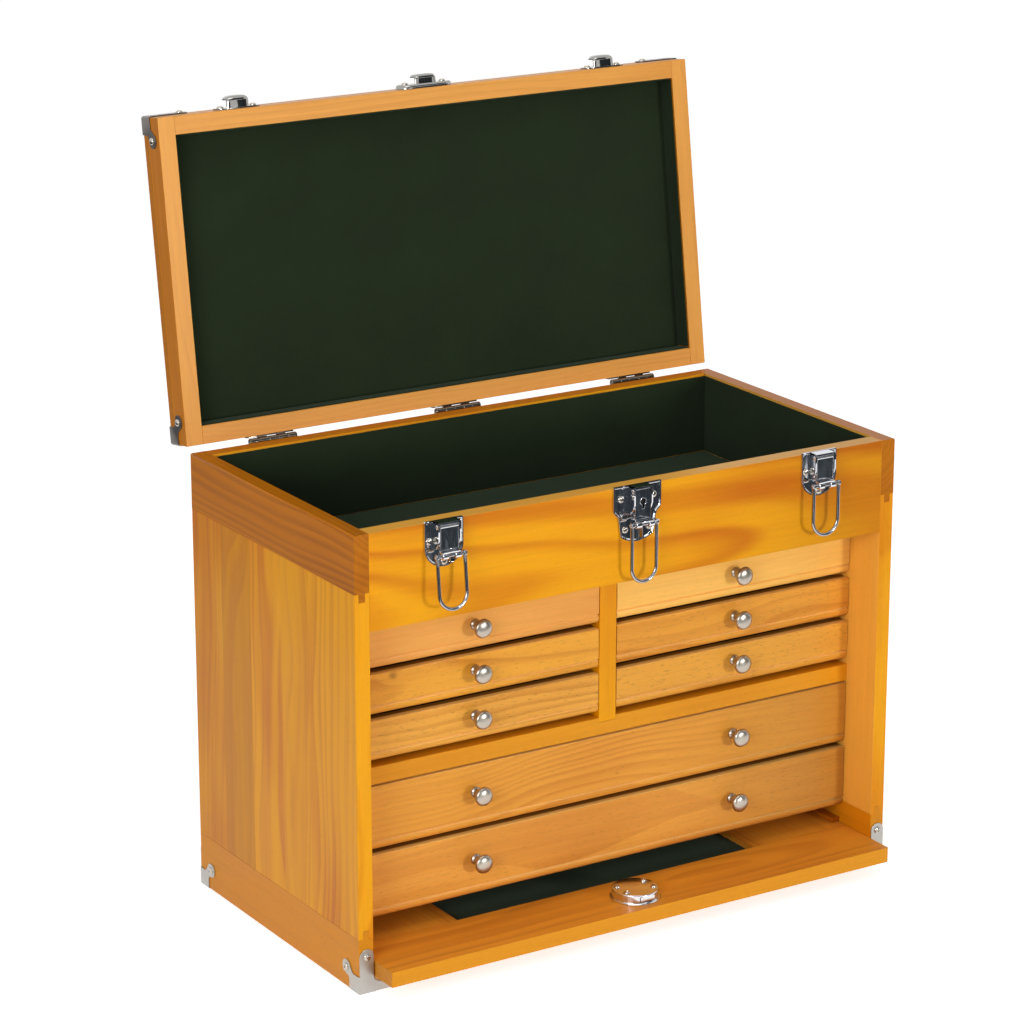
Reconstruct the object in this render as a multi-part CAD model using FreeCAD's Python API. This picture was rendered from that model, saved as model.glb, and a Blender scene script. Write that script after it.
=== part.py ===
import FreeCAD, Part
import math
import os

# A machinist's wooden chest: a felt-lined top tray under a hinged lid, eight drawers,
# a slide-away front panel, three draw latches, three hinges and steel corner guards.
# Millimetres. X runs to the right, -Y to the front, +Z up. The origin is the middle of
# the chest's footprint, on the surface that it stands on.
# The lid is drawn closed and then turned open, the pose in which everything is exported.

V = FreeCAD.Vector

# Case boards
case_width = 510.0
case_depth = 266.0
side_thickness = 13.0
back_thickness = 13.0
base_thickness = 12.0
base_field_inset = 30.0
front_board_thickness = 15.0
front_board_height = 78.0
top_rail_height = 46.5
bottom_rail_height = 45.0
tongue_length = 7.0
tongue_thickness = 5.5
outer_edge_round = 1.5
tray_floor_thickness = 7.0
felt_thickness = 1.5
felt_rim_drop = 2.0
seat_gap = 0.3

# Drawer bank, counted upwards from the base board
drawer_recess = 38.5
panel_slot_height = 29.4
wide_front_height = 53.4
small_front_height = 33.6
wide_gap = 4.1
small_gap = 4.4
gap_under_shelf = 2.0
shelf_thickness = 14.5
gap_over_shelf = 4.5
tray_floor_gap = 12.6
divider_thickness = 16.0
divider_housing_depth = 3.6
front_side_gap = 0.8
small_rows = 3
wide_rows = 2

# Drawer front moulding
front_thickness = 12.0
front_arris = 1.0
bead_height = 7.5
bead_groove_depth = 2.2
bead_groove_width = 1.8
bead_nose_setback = 0.5
bead_foot_setback = 4.5

# Drawer box and its runners
box_side_thickness = 8.0
box_back_thickness = 8.0
box_bottom_thickness = 3.0
box_side_gap = 1.0
box_top_drop = 3.0
box_foot_rise = 1.5
box_bottom_rise = 1.5
runner_groove_depth = 3.5
runner_height = 5.4
runner_rise = 11.0
runner_lift_gap = 0.3
runner_end_gap = 0.5
runner_front_gap = 1.0

# Drawer knob
knob_diameter = 15.8
knob_length = 16.0
knob_neck_diameter = 5.8
knob_rim_length = 1.6
knob_dome_height = 3.2
knob_facets = 12

# Lid
lid_thickness = 28.0
lid_frame_width = 15.0
lid_top_thickness = 9.0
lid_seat_gap = 0.3
lid_open_angle = 98.0

# Fittings share one distance in from the sides of the chest
fitting_inset = 78.0

# Hinge
hinge_width = 43.5
hinge_setback = 4.4
hinge_drop = 0.35
leaf_thickness = 1.5
leaf_height = 24.0
hinge_pin_diameter = 3.0
hinge_pin_fit = 0.05
hinge_knuckles = 5
knuckle_facets = 12
pin_facets = 16
knuckle_gap = 0.3
hinge_stop_length = 8.0
hinge_stop_gap = 0.05
hinge_screw_height = 13.0
hinge_screw_spread = 15.0

# Corner guard
guard_thickness = 1.0
guard_tab_width = 13.0
guard_screw_height = 30.5
guard_foot_length = 29.0
lid_guard_foot_length = 14.5
guard_foot_tip = 5.0
guard_corner_height = 12.0
guard_leg_reach = 19.0
guard_leg_rise = 17.0
guard_leg_radius = 6.2
guard_side_length = 14.5

# Draw latch, common to all three
latch_rise = 1.5
latch_plate_thickness = 1.8
latch_plate_bevel = 0.8
latch_house_depth = 10.6
latch_wall = 1.2
latch_side_play = 0.25
latch_face_inset = 0.5
latch_pivot_drop = 3.5
latch_barrel_radius = 1.8
latch_pivot_pin_radius = 1.0
latch_pin_fit = 0.05
loop_wire_diameter = 2.8
loop_bow_facets = 8
left_loop_tilt = 6.0
loop_wire_facets = 8
latch_knuckle_wall = 1.5
latch_flare = 3.5
latch_lip_upturn = 1.0

# Side latches
side_plate_width = 34.4
side_plate_straight = 21.0
side_plate_height = 37.5
side_house_width = 20.3
side_house_height = 22.0
side_loop_pin_drop = 26.0
side_loop_width = 27.5
side_knuckle_width = 16.3
side_lip_reach = 15.0
side_screw_spread = 13.2
side_screw_drop = 16.0
side_foot_screw_drop = 33.5

# Centre latch with the lock in its lever
centre_plate_width = 44.9
centre_plate_straight = 20.5
centre_neck_width = 35.6
centre_neck_drop = 25.5
centre_plate_foot_width = 31.0
centre_foot_drop = 42.0
centre_plate_height = 46.8
centre_house_width = 17.6
centre_house_height = 22.5
centre_loop_pin_drop = 30.0
centre_loop_width = 26.0
centre_knuckle_width = 17.0
centre_lip_reach = 18.0
centre_screw_spread = 15.2
centre_screw_drop = 10.5
centre_foot_screw_spread = 11.5
centre_foot_screw_drop = 36.0
loop_nub_radius = 1.3
loop_nub_height = 2.6
keyhole_radius = 2.1
keyhole_slot_width = 1.7
keyhole_slot_length = 4.6
keyhole_drop = 12.0

# Lid catches
catch_plate_width = 41.0
catch_plate_height = 16.0
catch_plate_thickness = 1.2
catch_bottom_rise = 5.0
catch_hook_width = 19.5
catch_hook_depth = 10.0
catch_hook_height = 9.5
catch_hook_wall = 1.5
catch_hook_round = 2.2
catch_hook_rise = 4.0
catch_screw_spread = 15.0
centre_catch_width = 51.0
centre_catch_height = 19.0
centre_catch_thickness = 3.6
centre_catch_bevel = 1.6
centre_hook_rise = 5.0
centre_hook_depth = 11.0
centre_catch_screw_spread = 18.0

# Slide-away front panel
panel_thickness = 12.7
panel_side_gap = 1.0
panel_close_gap = 4.2
panel_rail_width = 61.0
panel_stile_width = 96.0
panel_corner_round = 1.2
panel_field_thickness = 6.0
panel_field_rise = 1.0
panel_guide_height = 4.0
panel_guide_width = 8.0
panel_guide_start = 43.0

# Panel lock
panel_lock_offset = 2.5
panel_lock_setback = 26.0
lock_flange_diameter = 41.5
lock_flange_thickness = 1.5
lock_case_diameter = 38.5
lock_case_height = 8.5
lock_case_facets = 32
lock_bolt_width = 13.5
lock_bolt_height = 4.0
lock_bolt_length = 19.0
lock_bolt_throw = 14.0
lock_bolt_fit = 0.25
lock_bolt_inset = 1.0
lock_bolt_floor = 1.1
lock_screw_spread = 13.0
lock_screw_depth = 7.3
lock_plug_diameter = 12.0
lock_plug_fit = 0.05
keyway_width = 1.6
keyway_length = 7.0
keyway_depth = 4.0
lock_strike_gap = 1.5

# Screw heads
screw_head_diameter = 5.8
screw_head_height = 1.7
screw_head_facets = 8

# A cut reaches this far past the face that it opens
overrun = 1.0

# Small pressed metal has each of its arcs as this many chords
arc_chords = 6

# Shares that shape curves
arc_middle_share = math.sqrt(0.5)
neck_middle_share = 0.62
neck_cup_share = 0.78
shoulder_share = 0.35

# Levels and planes worked out from the sizes above
half_width = case_width / 2
half_depth = case_depth / 2
front_y = -half_depth
back_y = half_depth
inner_x = half_width - side_thickness
inner_back_y = back_y - back_thickness
base_bottom_z = guard_thickness
base_top_z = base_bottom_z + base_thickness
lower_drawer_z = base_top_z + panel_slot_height
upper_wide_z = lower_drawer_z + wide_front_height + wide_gap
shelf_bottom_z = upper_wide_z + wide_front_height + gap_under_shelf
shelf_top_z = shelf_bottom_z + shelf_thickness
small_drawer_z = shelf_top_z + gap_over_shelf
small_pitch = small_front_height + small_gap
small_stack_top_z = small_drawer_z + small_pitch * (small_rows - 1) + small_front_height
tray_bottom_z = small_stack_top_z + tray_floor_gap
rim_z = tray_bottom_z + front_board_height
tray_felt_z = tray_bottom_z + tray_floor_thickness
drawer_face_y = front_y + drawer_recess
tray_front_y = front_y + front_board_thickness
divider_foot_z = shelf_top_z - divider_housing_depth
fitting_x = half_width - fitting_inset
hinge_y = back_y + hinge_setback
hinge_z = rim_z - hinge_drop
lid_bottom_z = rim_z + lid_seat_gap
lid_top_z = lid_bottom_z + lid_thickness
lid_board_z = lid_top_z - lid_top_thickness
latch_top_z = rim_z + latch_rise

parts = {}


def keep(name, *solids):
    """File solids under the name of their node."""
    parts.setdefault(name, []).extend(solids)


def block(x0, x1, y0, y1, z0, z1):
    return Part.makeBox(x1 - x0, y1 - y0, z1 - z0, V(x0, y0, z0))


def outline(start, *steps):
    """A face whose edge runs from start through steps: a point, or (middle, end) of an arc."""
    edges = []
    here = start
    for step in steps:
        if isinstance(step, tuple):
            edges.append(Part.Arc(here, step[0], step[1]).toShape())
            here = step[1]
        else:
            edges.append(Part.LineSegment(here, step).toShape())
            here = step
    return Part.Face(Part.Wire(edges))


def pressed_outline(start, *steps):
    """The same, for small pressed metal, with each arc as a few chords."""
    corners = [start]
    for step in steps:
        if isinstance(step, tuple):
            bow = Part.Arc(corners[-1], step[0], step[1]).toShape()
            corners += bow.discretize(arc_chords + 1)[1:]
        else:
            corners.append(step)
    if (corners[-1] - start).Length < Part.Precision.confusion():
        corners.pop()
    return flat_face(corners)


def rounded(solid, radius, wanted):
    """Round the edges of a solid that wanted(edge) picks."""
    edges = [edge for edge in solid.Edges if wanted(edge)]
    return solid.makeFillet(radius, edges)


def lies_at(edge, axis, place):
    """True for a straight edge whose two ends share one place on an axis."""
    ends = [getattr(vertex.Point, axis) for vertex in edge.Vertexes]
    return len(ends) == 2 and all(abs(end - place) < Part.Precision.confusion() for end in ends)


def rod(radius, x0, x1, y, z):
    return Part.makeCylinder(radius, x1 - x0, V(x0, y, z), V(1, 0, 0))


def bar(radius, sides, x0, x1, y, z):
    """A rod of flat facets."""
    return faceted([(radius, 0), (radius, x1 - x0)], sides, V(x0, y, z), V(1, 0, 0))


def mirrored(shape):
    return shape.mirror(V(0, 0, 0), V(1, 0, 0))


def opened(shape):
    """Turn a shape of the closed lid to where the lid stands open."""
    turned = shape.copy()
    turned.rotate(V(0, hinge_y, hinge_z), V(1, 0, 0), -lid_open_angle)
    return turned


def faceted(rings, sides, place, outward):
    """A solid of flat facets about an axis through place. rings are (radius, height) pairs."""
    turns = [2 * math.pi * number / sides for number in range(sides)]
    loops = [[V(radius * math.cos(turn), radius * math.sin(turn), height) for turn in turns]
             for radius, height in rings]
    faces = [flat_face(loops[0]), flat_face(loops[-1])]
    for low, high in zip(loops, loops[1:]):
        for number in range(sides):
            faces.append(flat_face([low[number - 1], low[number], high[number], high[number - 1]]))
    solid = Part.Solid(Part.Shell(faces))
    if solid.Volume < 0:
        solid.reverse()
    solid.Placement = FreeCAD.Placement(place, FreeCAD.Rotation(V(0, 0, 1), outward))
    return solid


def flat_face(corners):
    return Part.Face(Part.makePolygon(corners + corners[:1]))


def screw_head(place, outward):
    """A raised screw head that sits on a face at place."""
    radius = screw_head_diameter / 2
    rings = [(radius, 0), (radius * neck_middle_share, screw_head_height)]
    return faceted(rings, screw_head_facets, place, outward)


# Case boards

def side_top_rail():
    """The grain-end rail under the rim, with a tongue along its lower edge."""
    low_z = rim_z - top_rail_height
    rail = block(-half_width, -inner_x, front_y, back_y, low_z, rim_z)
    rail = rounded(rail, outer_edge_round,
                   lambda edge: lies_at(edge, "x", -half_width) and lies_at(edge, "z", rim_z))
    return rail.fuse(tongue(low_z - tongue_length, low_z)).removeSplitter()


def side_bottom_rail():
    high_z = base_bottom_z + bottom_rail_height
    rail = block(-half_width, -inner_x, front_y, back_y, base_bottom_z, high_z)
    return rail.fuse(tongue(high_z, high_z + tongue_length)).removeSplitter()


def tongue(z0, z1):
    middle_x = -half_width + side_thickness / 2
    half = tongue_thickness / 2
    return block(middle_x - half, middle_x + half, front_y, back_y, z0, z1)


def side_plank():
    """The upright-grained board, grooved over both tongues."""
    low_z = base_bottom_z + bottom_rail_height
    high_z = rim_z - top_rail_height
    board = block(-half_width, -inner_x, front_y, back_y, low_z, high_z)
    board = board.cut(tongue(low_z, low_z + tongue_length))
    return board.cut(tongue(high_z - tongue_length, high_z))


def make_case():
    for name, board in (("side_top_rails", side_top_rail()),
                        ("side_planks", side_plank()),
                        ("side_bottom_rails", side_bottom_rail())):
        keep(name, board, mirrored(board))
    keep("front_board", block(-inner_x, inner_x, front_y, tray_front_y, tray_bottom_z, rim_z))
    keep("back_board", block(-inner_x, inner_x, inner_back_y, back_y, base_bottom_z, rim_z))
    keep("base_board", base_board())
    keep("tray_floor", tray_floor())
    keep("cross_shelf", cross_shelf())
    keep("centre_divider", block(-divider_thickness / 2, divider_thickness / 2, drawer_face_y,
                                 inner_back_y, divider_foot_z, tray_bottom_z))


def base_board():
    """The base board, with a field underneath that bears level with the guards' feet."""
    board = block(-inner_x, inner_x, front_y, inner_back_y, base_bottom_z, base_top_z)
    x = inner_x - base_field_inset
    y = half_depth - base_field_inset
    return board.fuse(block(-x, x, -y, y, 0, base_bottom_z)).removeSplitter()


def tray_floor():
    """The floor of the tray, mortised from below for the raised bolt of the panel lock."""
    floor = block(-inner_x, inner_x, tray_front_y, inner_back_y, tray_bottom_z, tray_felt_z)
    half = lock_bolt_width / 2 + lock_strike_gap
    depth = lock_case_height + lock_strike_gap - (front_board_thickness - panel_thickness)
    height = lock_bolt_throw - panel_close_gap - lock_case_to_edge() + lock_strike_gap
    mortise = block(panel_lock_offset - half, panel_lock_offset + half, tray_front_y,
                    tray_front_y + depth, tray_bottom_z, tray_bottom_z + height)
    return floor.cut(mortise)


def lock_case_to_edge():
    return panel_lock_setback - lock_case_diameter / 2


def cross_shelf():
    """The shelf over the wide drawers, housed for the foot of the divider."""
    shelf = block(-inner_x, inner_x, drawer_face_y, inner_back_y, shelf_bottom_z, shelf_top_z)
    return shelf.cut(block(-divider_thickness / 2, divider_thickness / 2, drawer_face_y,
                           inner_back_y, divider_foot_z, shelf_top_z))


def make_tray_felt():
    """A sheet on the floor and one on each wall of the tray."""
    high_z = rim_z - felt_rim_drop
    wall_z = tray_felt_z + felt_thickness
    keep("tray_felt",
         block(-inner_x, inner_x, tray_front_y, inner_back_y, tray_felt_z, wall_z),
         block(-inner_x, inner_x, tray_front_y, tray_front_y + felt_thickness, wall_z, high_z),
         block(-inner_x, inner_x, inner_back_y - felt_thickness, inner_back_y, wall_z, high_z))
    side = block(-inner_x, -inner_x + felt_thickness, tray_front_y + felt_thickness,
                 inner_back_y - felt_thickness, wall_z, high_z)
    keep("tray_felt", side, mirrored(side))


# Drawers

def drawer_front(x0, x1, z0, height):
    """A front with a groove and a rounded bead worked along its lower edge."""
    y = drawer_face_y
    groove_top = z0 + bead_height + bead_groove_width / 2
    groove_low = z0 + bead_height - bead_groove_width / 2
    back = y + front_thickness
    top = z0 + height
    nose = y + bead_nose_setback
    bow_y = y + bead_foot_setback * (1 - arc_middle_share)
    bow_z = z0 + (groove_low - z0) * (1 - arc_middle_share)
    face = outline(V(x0, y + front_arris, top),
                   (V(x0, y + front_arris * (1 - arc_middle_share),
                      top - front_arris * (1 - arc_middle_share)), V(x0, y, top - front_arris)),
                   V(x0, y, groove_top),
                   V(x0, y + bead_groove_depth, z0 + bead_height),
                   V(x0, nose, groove_low),
                   (V(x0, bow_y, bow_z), V(x0, y + bead_foot_setback, z0)),
                   V(x0, back, z0),
                   V(x0, back, top),
                   V(x0, y + front_arris, top))
    return face.extrude(V(x1 - x0, 0, 0))


def drawer_box(x0, x1, z0, height):
    """Two grooved sides, a back and a bottom board behind a front."""
    y0 = drawer_face_y + front_thickness
    y1 = inner_back_y - seat_gap
    low = z0 + box_foot_rise
    high = z0 + height - box_top_drop
    groove_z0 = z0 + runner_rise - runner_lift_gap
    groove_z1 = z0 + runner_rise + runner_height + runner_lift_gap
    left = block(x0, x0 + box_side_thickness, y0, y1, low, high)
    left = left.cut(block(x0, x0 + runner_groove_depth, y0, y1, groove_z0, groove_z1))
    right = block(x1 - box_side_thickness, x1, y0, y1, low, high)
    right = right.cut(block(x1 - runner_groove_depth, x1, y0, y1, groove_z0, groove_z1))
    inner_x0 = x0 + box_side_thickness
    inner_x1 = x1 - box_side_thickness
    back = block(inner_x0, inner_x1, y1 - box_back_thickness, y1, low, high)
    floor_z = low + box_bottom_rise
    floor = block(inner_x0, inner_x1, y0, y1 - box_back_thickness, floor_z,
                  floor_z + box_bottom_thickness)
    return [left, right, back, floor]


def knob(x, z):
    """A mushroom knob, faceted about its own axis, standing on a drawer front."""
    rim = knob_diameter / 2
    neck = knob_neck_diameter / 2
    rim_front = knob_length - knob_dome_height
    rim_back = rim_front - knob_rim_length
    cup = rim_back * neck_middle_share
    swell = neck + (rim - neck) * shoulder_share
    swell_at = cup + (rim_back - cup) * neck_cup_share
    rings = [(neck, 0), (neck, cup), (swell, swell_at), (rim, rim_back), (rim, rim_front),
             (rim * arc_middle_share, knob_length - knob_dome_height * (1 - arc_middle_share)),
             (rim * shoulder_share, knob_length)]
    return faceted(rings, knob_facets, V(x, drawer_face_y, z), V(0, -1, 0))


def runner(wall_x, toward, z0):
    """A strip fixed to an upright face, running in the groove of a drawer side."""
    depth = box_side_gap + runner_groove_depth - runner_end_gap
    x0, x1 = sorted((wall_x, wall_x + toward * depth))
    y0 = drawer_face_y + front_thickness + runner_front_gap
    z = z0 + runner_rise
    return block(x0, x1, y0, inner_back_y, z, z + runner_height)


def make_drawer(number, x0, x1, z0, height, knob_places):
    """One drawer between two upright faces at x0 and x1, with its pair of runners."""
    keep("drawer_%d_front" % number,
         drawer_front(x0 + front_side_gap, x1 - front_side_gap, z0, height))
    keep("drawer_%d_box" % number, *drawer_box(x0 + box_side_gap, x1 - box_side_gap, z0, height))
    knob_z = z0 + (bead_height + height) / 2
    keep("drawer_%d_knob" % number, *[knob(x, knob_z) for x in knob_places])
    keep("drawer_runners", runner(x0, 1, z0), runner(x1, -1, z0))


def make_drawers():
    """Three small drawers left, three right, from the top, then the two wide ones."""
    divider_x = divider_thickness / 2
    middle = (inner_x + divider_x) / 2
    number = 0
    for x0, x1, place in ((-inner_x, -divider_x, -middle), (divider_x, inner_x, middle)):
        for row in reversed(range(small_rows)):
            number += 1
            z0 = small_drawer_z + small_pitch * row
            make_drawer(number, x0, x1, z0, small_front_height, [place])
    for row in reversed(range(wide_rows)):
        number += 1
        z0 = lower_drawer_z + (wide_front_height + wide_gap) * row
        make_drawer(number, -inner_x, inner_x, z0, wide_front_height, [-middle, middle])


# Lid

def make_lid():
    """A framed board with a felt-lined recess underneath."""
    inner = half_width - lid_frame_width
    stile = block(-half_width, -inner, front_y, back_y, lid_bottom_z, lid_board_z)
    keep("lid_stiles", opened(stile), opened(mirrored(stile)))
    for y0, y1 in ((front_y, front_y + lid_frame_width), (back_y - lid_frame_width, back_y)):
        keep("lid_rails", opened(block(-inner, inner, y0, y1, lid_bottom_z, lid_board_z)))
    board = block(-half_width, half_width, front_y, back_y, lid_board_z, lid_top_z)
    board = rounded(board, outer_edge_round, lambda edge: lies_at(edge, "z", lid_top_z))
    keep("lid_top_board", opened(board))
    make_lid_felt(inner)


def make_lid_felt(inner):
    felt_z = lid_board_z - felt_thickness
    y0 = front_y + lid_frame_width
    y1 = back_y - lid_frame_width
    low_z = lid_bottom_z + felt_rim_drop
    side = block(-inner, -inner + felt_thickness, y0 + felt_thickness, y1 - felt_thickness,
                 low_z, felt_z)
    sheets = [block(-inner, inner, y0, y1, felt_z, lid_board_z),
              block(-inner, inner, y0, y0 + felt_thickness, low_z, felt_z),
              block(-inner, inner, y1 - felt_thickness, y1, low_z, felt_z),
              side, mirrored(side)]
    keep("lid_felt", *[opened(sheet) for sheet in sheets])


# Hinges

def knuckle_span(x, number):
    """The start and end of one knuckle along the pin."""
    pitch = hinge_width / hinge_knuckles
    start = x - hinge_width / 2 + pitch * number
    gap = knuckle_gap / 2
    return start + gap, start + pitch - gap


def barrel_radius():
    return hinge_setback - leaf_thickness


def hinge_leaf(x, side, knuckles):
    """A leaf on the back face, cranked out to its knuckles. side is -1 below, 1 above."""
    radius = barrel_radius()
    z0, z1 = sorted((hinge_z + side * radius, hinge_z + side * leaf_height))
    leaf = block(x - hinge_width / 2, x + hinge_width / 2, back_y, back_y + leaf_thickness, z0, z1)
    for number in knuckles:
        x0, x1 = knuckle_span(x, number)
        web_z0, web_z1 = sorted((hinge_z + side * radius,
                                 hinge_z + side * (radius - leaf_thickness)))
        web = block(x0, x1, back_y, hinge_y, web_z0, web_z1)
        leaf = leaf.fuse([web, bar(radius, knuckle_facets, x0, x1, hinge_y, hinge_z)])
    return leaf


def hinge_bore(x):
    half = hinge_width / 2 + overrun
    return bar(hinge_pin_diameter / 2 + hinge_pin_fit, pin_facets, x - half, x + half,
               hinge_y, hinge_z)


def make_hinge(x):
    """Two leaves, their pin, and stops on the lid's knuckles that land on the lower leaf."""
    case_knuckles = range(0, hinge_knuckles, 2)
    lid_knuckles = range(1, hinge_knuckles, 2)
    case_leaf = hinge_leaf(x, -1, case_knuckles).cut(hinge_bore(x)).removeSplitter()
    keep("hinge_case_leaves", case_leaf)
    lid_leaf = opened(hinge_leaf(x, 1, lid_knuckles))
    stop_y = back_y + leaf_thickness + hinge_stop_gap
    for number in lid_knuckles:
        x0, x1 = knuckle_span(x, number)
        lid_leaf = lid_leaf.fuse(block(x0, x1, stop_y, stop_y + leaf_thickness,
                                       hinge_z - hinge_stop_length, hinge_z))
    keep("hinge_lid_leaves", lid_leaf.cut(hinge_bore(x)).removeSplitter())
    half = hinge_width / 2
    keep("hinge_pins", bar(hinge_pin_diameter / 2, pin_facets, x - half, x + half,
                           hinge_y, hinge_z))
    case_face = back_y + leaf_thickness
    for spread in (-hinge_screw_spread, 0, hinge_screw_spread):
        keep("case_screws", screw_head(V(x + spread, case_face, hinge_z - hinge_screw_height),
                                       V(0, 1, 0)))
        keep("lid_screws", opened(screw_head(V(x + spread, case_face,
                                               hinge_z + hinge_screw_height), V(0, 1, 0))))


# Corner guards

def guard(place, foot_length):
    """A pressed corner of three plates. place(p, q, r) turns corner lengths into a point.

    p runs along the tab, q into the depth and r along the foot.
    """
    t = guard_thickness
    tab = tab_face(place, foot_length).extrude(place(0, -t, 0) - place(0, 0, 0))
    leg_q = leg_face(lambda a, b: place(a, b, 0)).extrude(place(0, 0, -t) - place(0, 0, 0))
    leg_p = leg_face(lambda a, b: place(0, b, a)).extrude(place(-t, 0, 0) - place(0, 0, 0))
    tip = guard_side_length
    edges = []
    for end in ((tip, -t, -t), (-t, tip, -t), (-t, -t, tip)):
        ends = [min(0, size) for size in end]
        edges.append(corner_bar(place, ends, [max(0, size) for size in end]))
    return tab.fuse([leg_q, leg_p] + edges).removeSplitter()


def corner_bar(place, low, high):
    a = place(*low)
    b = place(*high)
    return block(min(a.x, b.x), max(a.x, b.x), min(a.y, b.y), max(a.y, b.y),
                 min(a.z, b.z), max(a.z, b.z))


def tab_face(place, foot_length):
    """The plate with the upright tab and the foot along the other edge."""
    radius = guard_tab_width / 2
    slope = guard_tab_width + (foot_length - guard_tab_width) * shoulder_share
    return pressed_outline(place(0, 0, 0), place(guard_screw_height, 0, 0),
                           (place(guard_screw_height + radius, 0, radius),
                            place(guard_screw_height, 0, guard_tab_width)),
                           place(guard_corner_height, 0, guard_tab_width),
                           (place((guard_corner_height + guard_foot_tip) * neck_middle_share, 0,
                                  slope),
                            place(guard_foot_tip, 0, foot_length)),
                           place(0, 0, foot_length))


def leg_face(place):
    """A plate with a diagonal leg that ends in a round pad about its screw."""
    radius = guard_leg_radius
    slant = radius * arc_middle_share
    centre = (guard_leg_rise, guard_leg_reach)
    neck = guard_side_length * (1 - neck_middle_share)
    return pressed_outline(place(0, 0), place(guard_side_length, 0),
                           place(guard_side_length, neck),
                           place(centre[0] + slant, centre[1] - slant),
                           (place(centre[0] + slant, centre[1] + slant),
                            place(centre[0] - slant, centre[1] + slant)),
                           place(neck, guard_side_length), place(0, guard_side_length))


def make_guards():
    """A guard on each lower corner of the case and each outer corner of the lid."""
    for side in (-1, 1):
        for face, depth in ((front_y, 1), (back_y, -1)):
            corner = V(side * half_width, face, base_bottom_z)

            def case_place(p, q, r):
                return corner + V(-side * r, depth * q, p)

            lid_corner = V(side * half_width, face, lid_top_z)

            def lid_place(p, q, r):
                return lid_corner + V(-side * p, depth * q, -r)

            keep("case_corner_guards", guard(case_place, guard_foot_length))
            keep("lid_corner_guards", opened(guard(lid_place, lid_guard_foot_length)))
            t = guard_thickness
            middle = guard_tab_width / 2
            across = V(-side, 0, 0)
            keep("case_screws",
                 screw_head(case_place(guard_screw_height, -t, middle), V(0, -depth, 0)),
                 screw_head(case_place(guard_leg_rise, guard_leg_reach, -t), -across))
            keep("lid_screws",
                 opened(screw_head(lid_place(guard_screw_height, -t, middle), V(0, -depth, 0))),
                 opened(screw_head(lid_place(-t, guard_leg_reach, guard_leg_rise), -across)))


# Draw latches

def out(reach):
    """The y of a point that stands out from the chest's front by reach."""
    return front_y - reach


def side_latch_plate(x):
    """A shield: straight sides under a flat top, closed below by one round."""
    half = side_plate_width / 2
    top = latch_top_z
    shoulder = top - side_plate_straight
    foot = top - side_plate_height
    bow_x = half * arc_middle_share
    bow_z = shoulder - (shoulder - foot) * arc_middle_share
    return pressed_outline(V(x - half, front_y, shoulder), V(x - half, front_y, top),
                           V(x + half, front_y, top), V(x + half, front_y, shoulder),
                           (V(x + bow_x, front_y, bow_z), V(x, front_y, foot)),
                           (V(x - bow_x, front_y, bow_z), V(x - half, front_y, shoulder)))


def centre_latch_plate(x):
    """A wide plate that steps in to a tapering apron with a bowed lower edge."""
    half = centre_plate_width / 2
    neck = centre_neck_width / 2
    foot = centre_plate_foot_width / 2
    top = latch_top_z
    shoulder = top - centre_plate_straight
    neck_z = top - centre_neck_drop
    foot_z = top - centre_foot_drop
    return pressed_outline(V(x - half, front_y, shoulder), V(x - half, front_y, top),
                           V(x + half, front_y, top), V(x + half, front_y, shoulder),
                           V(x + neck, front_y, neck_z), V(x + foot, front_y, foot_z),
                           (V(x, front_y, top - centre_plate_height),
                            V(x - foot, front_y, foot_z)),
                           V(x - neck, front_y, neck_z))


def latch_base(face, x, house_width, house_height):
    """A raised plate with two ears and a top bridge that house the lever."""
    plate = face.extrude(V(0, -latch_plate_thickness, 0))
    front = out(latch_plate_thickness)
    plate = plate.makeChamfer(latch_plate_bevel,
                              [edge for edge in plate.Edges if edge_in_plane(edge, front)])
    half = house_width / 2
    low = latch_top_z - house_height
    y0 = out(latch_house_depth)
    y1 = front
    house = [block(x - half, x - half + latch_wall, y0, y1, low, latch_top_z),
             block(x + half - latch_wall, x + half, y0, y1, low, latch_top_z),
             block(x - half, x + half, y0, y1, latch_top_z - latch_wall, latch_top_z)]
    whole = plate.fuse(house).removeSplitter()
    hole = latch_pivot_pin_radius + latch_pin_fit
    return whole.cut(bar(hole, pin_facets, x - half - overrun, x + half + overrun,
                         *latch_pivot()))


def edge_in_plane(edge, y):
    return all(abs(vertex.Point.y - y) < Part.Precision.confusion() for vertex in edge.Vertexes)


def latch_pivot():
    reach = latch_house_depth - latch_face_inset - latch_barrel_radius
    return out(reach), latch_top_z - latch_pivot_drop


def latch_knuckle_radius():
    return loop_wire_diameter / 2 + latch_pin_fit + latch_knuckle_wall


def loop_pin_reach():
    """The loop's pin lies in a knuckle rolled forward from the inner side of the lever face."""
    return latch_house_depth - latch_face_inset - latch_wall + latch_knuckle_radius()


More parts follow.
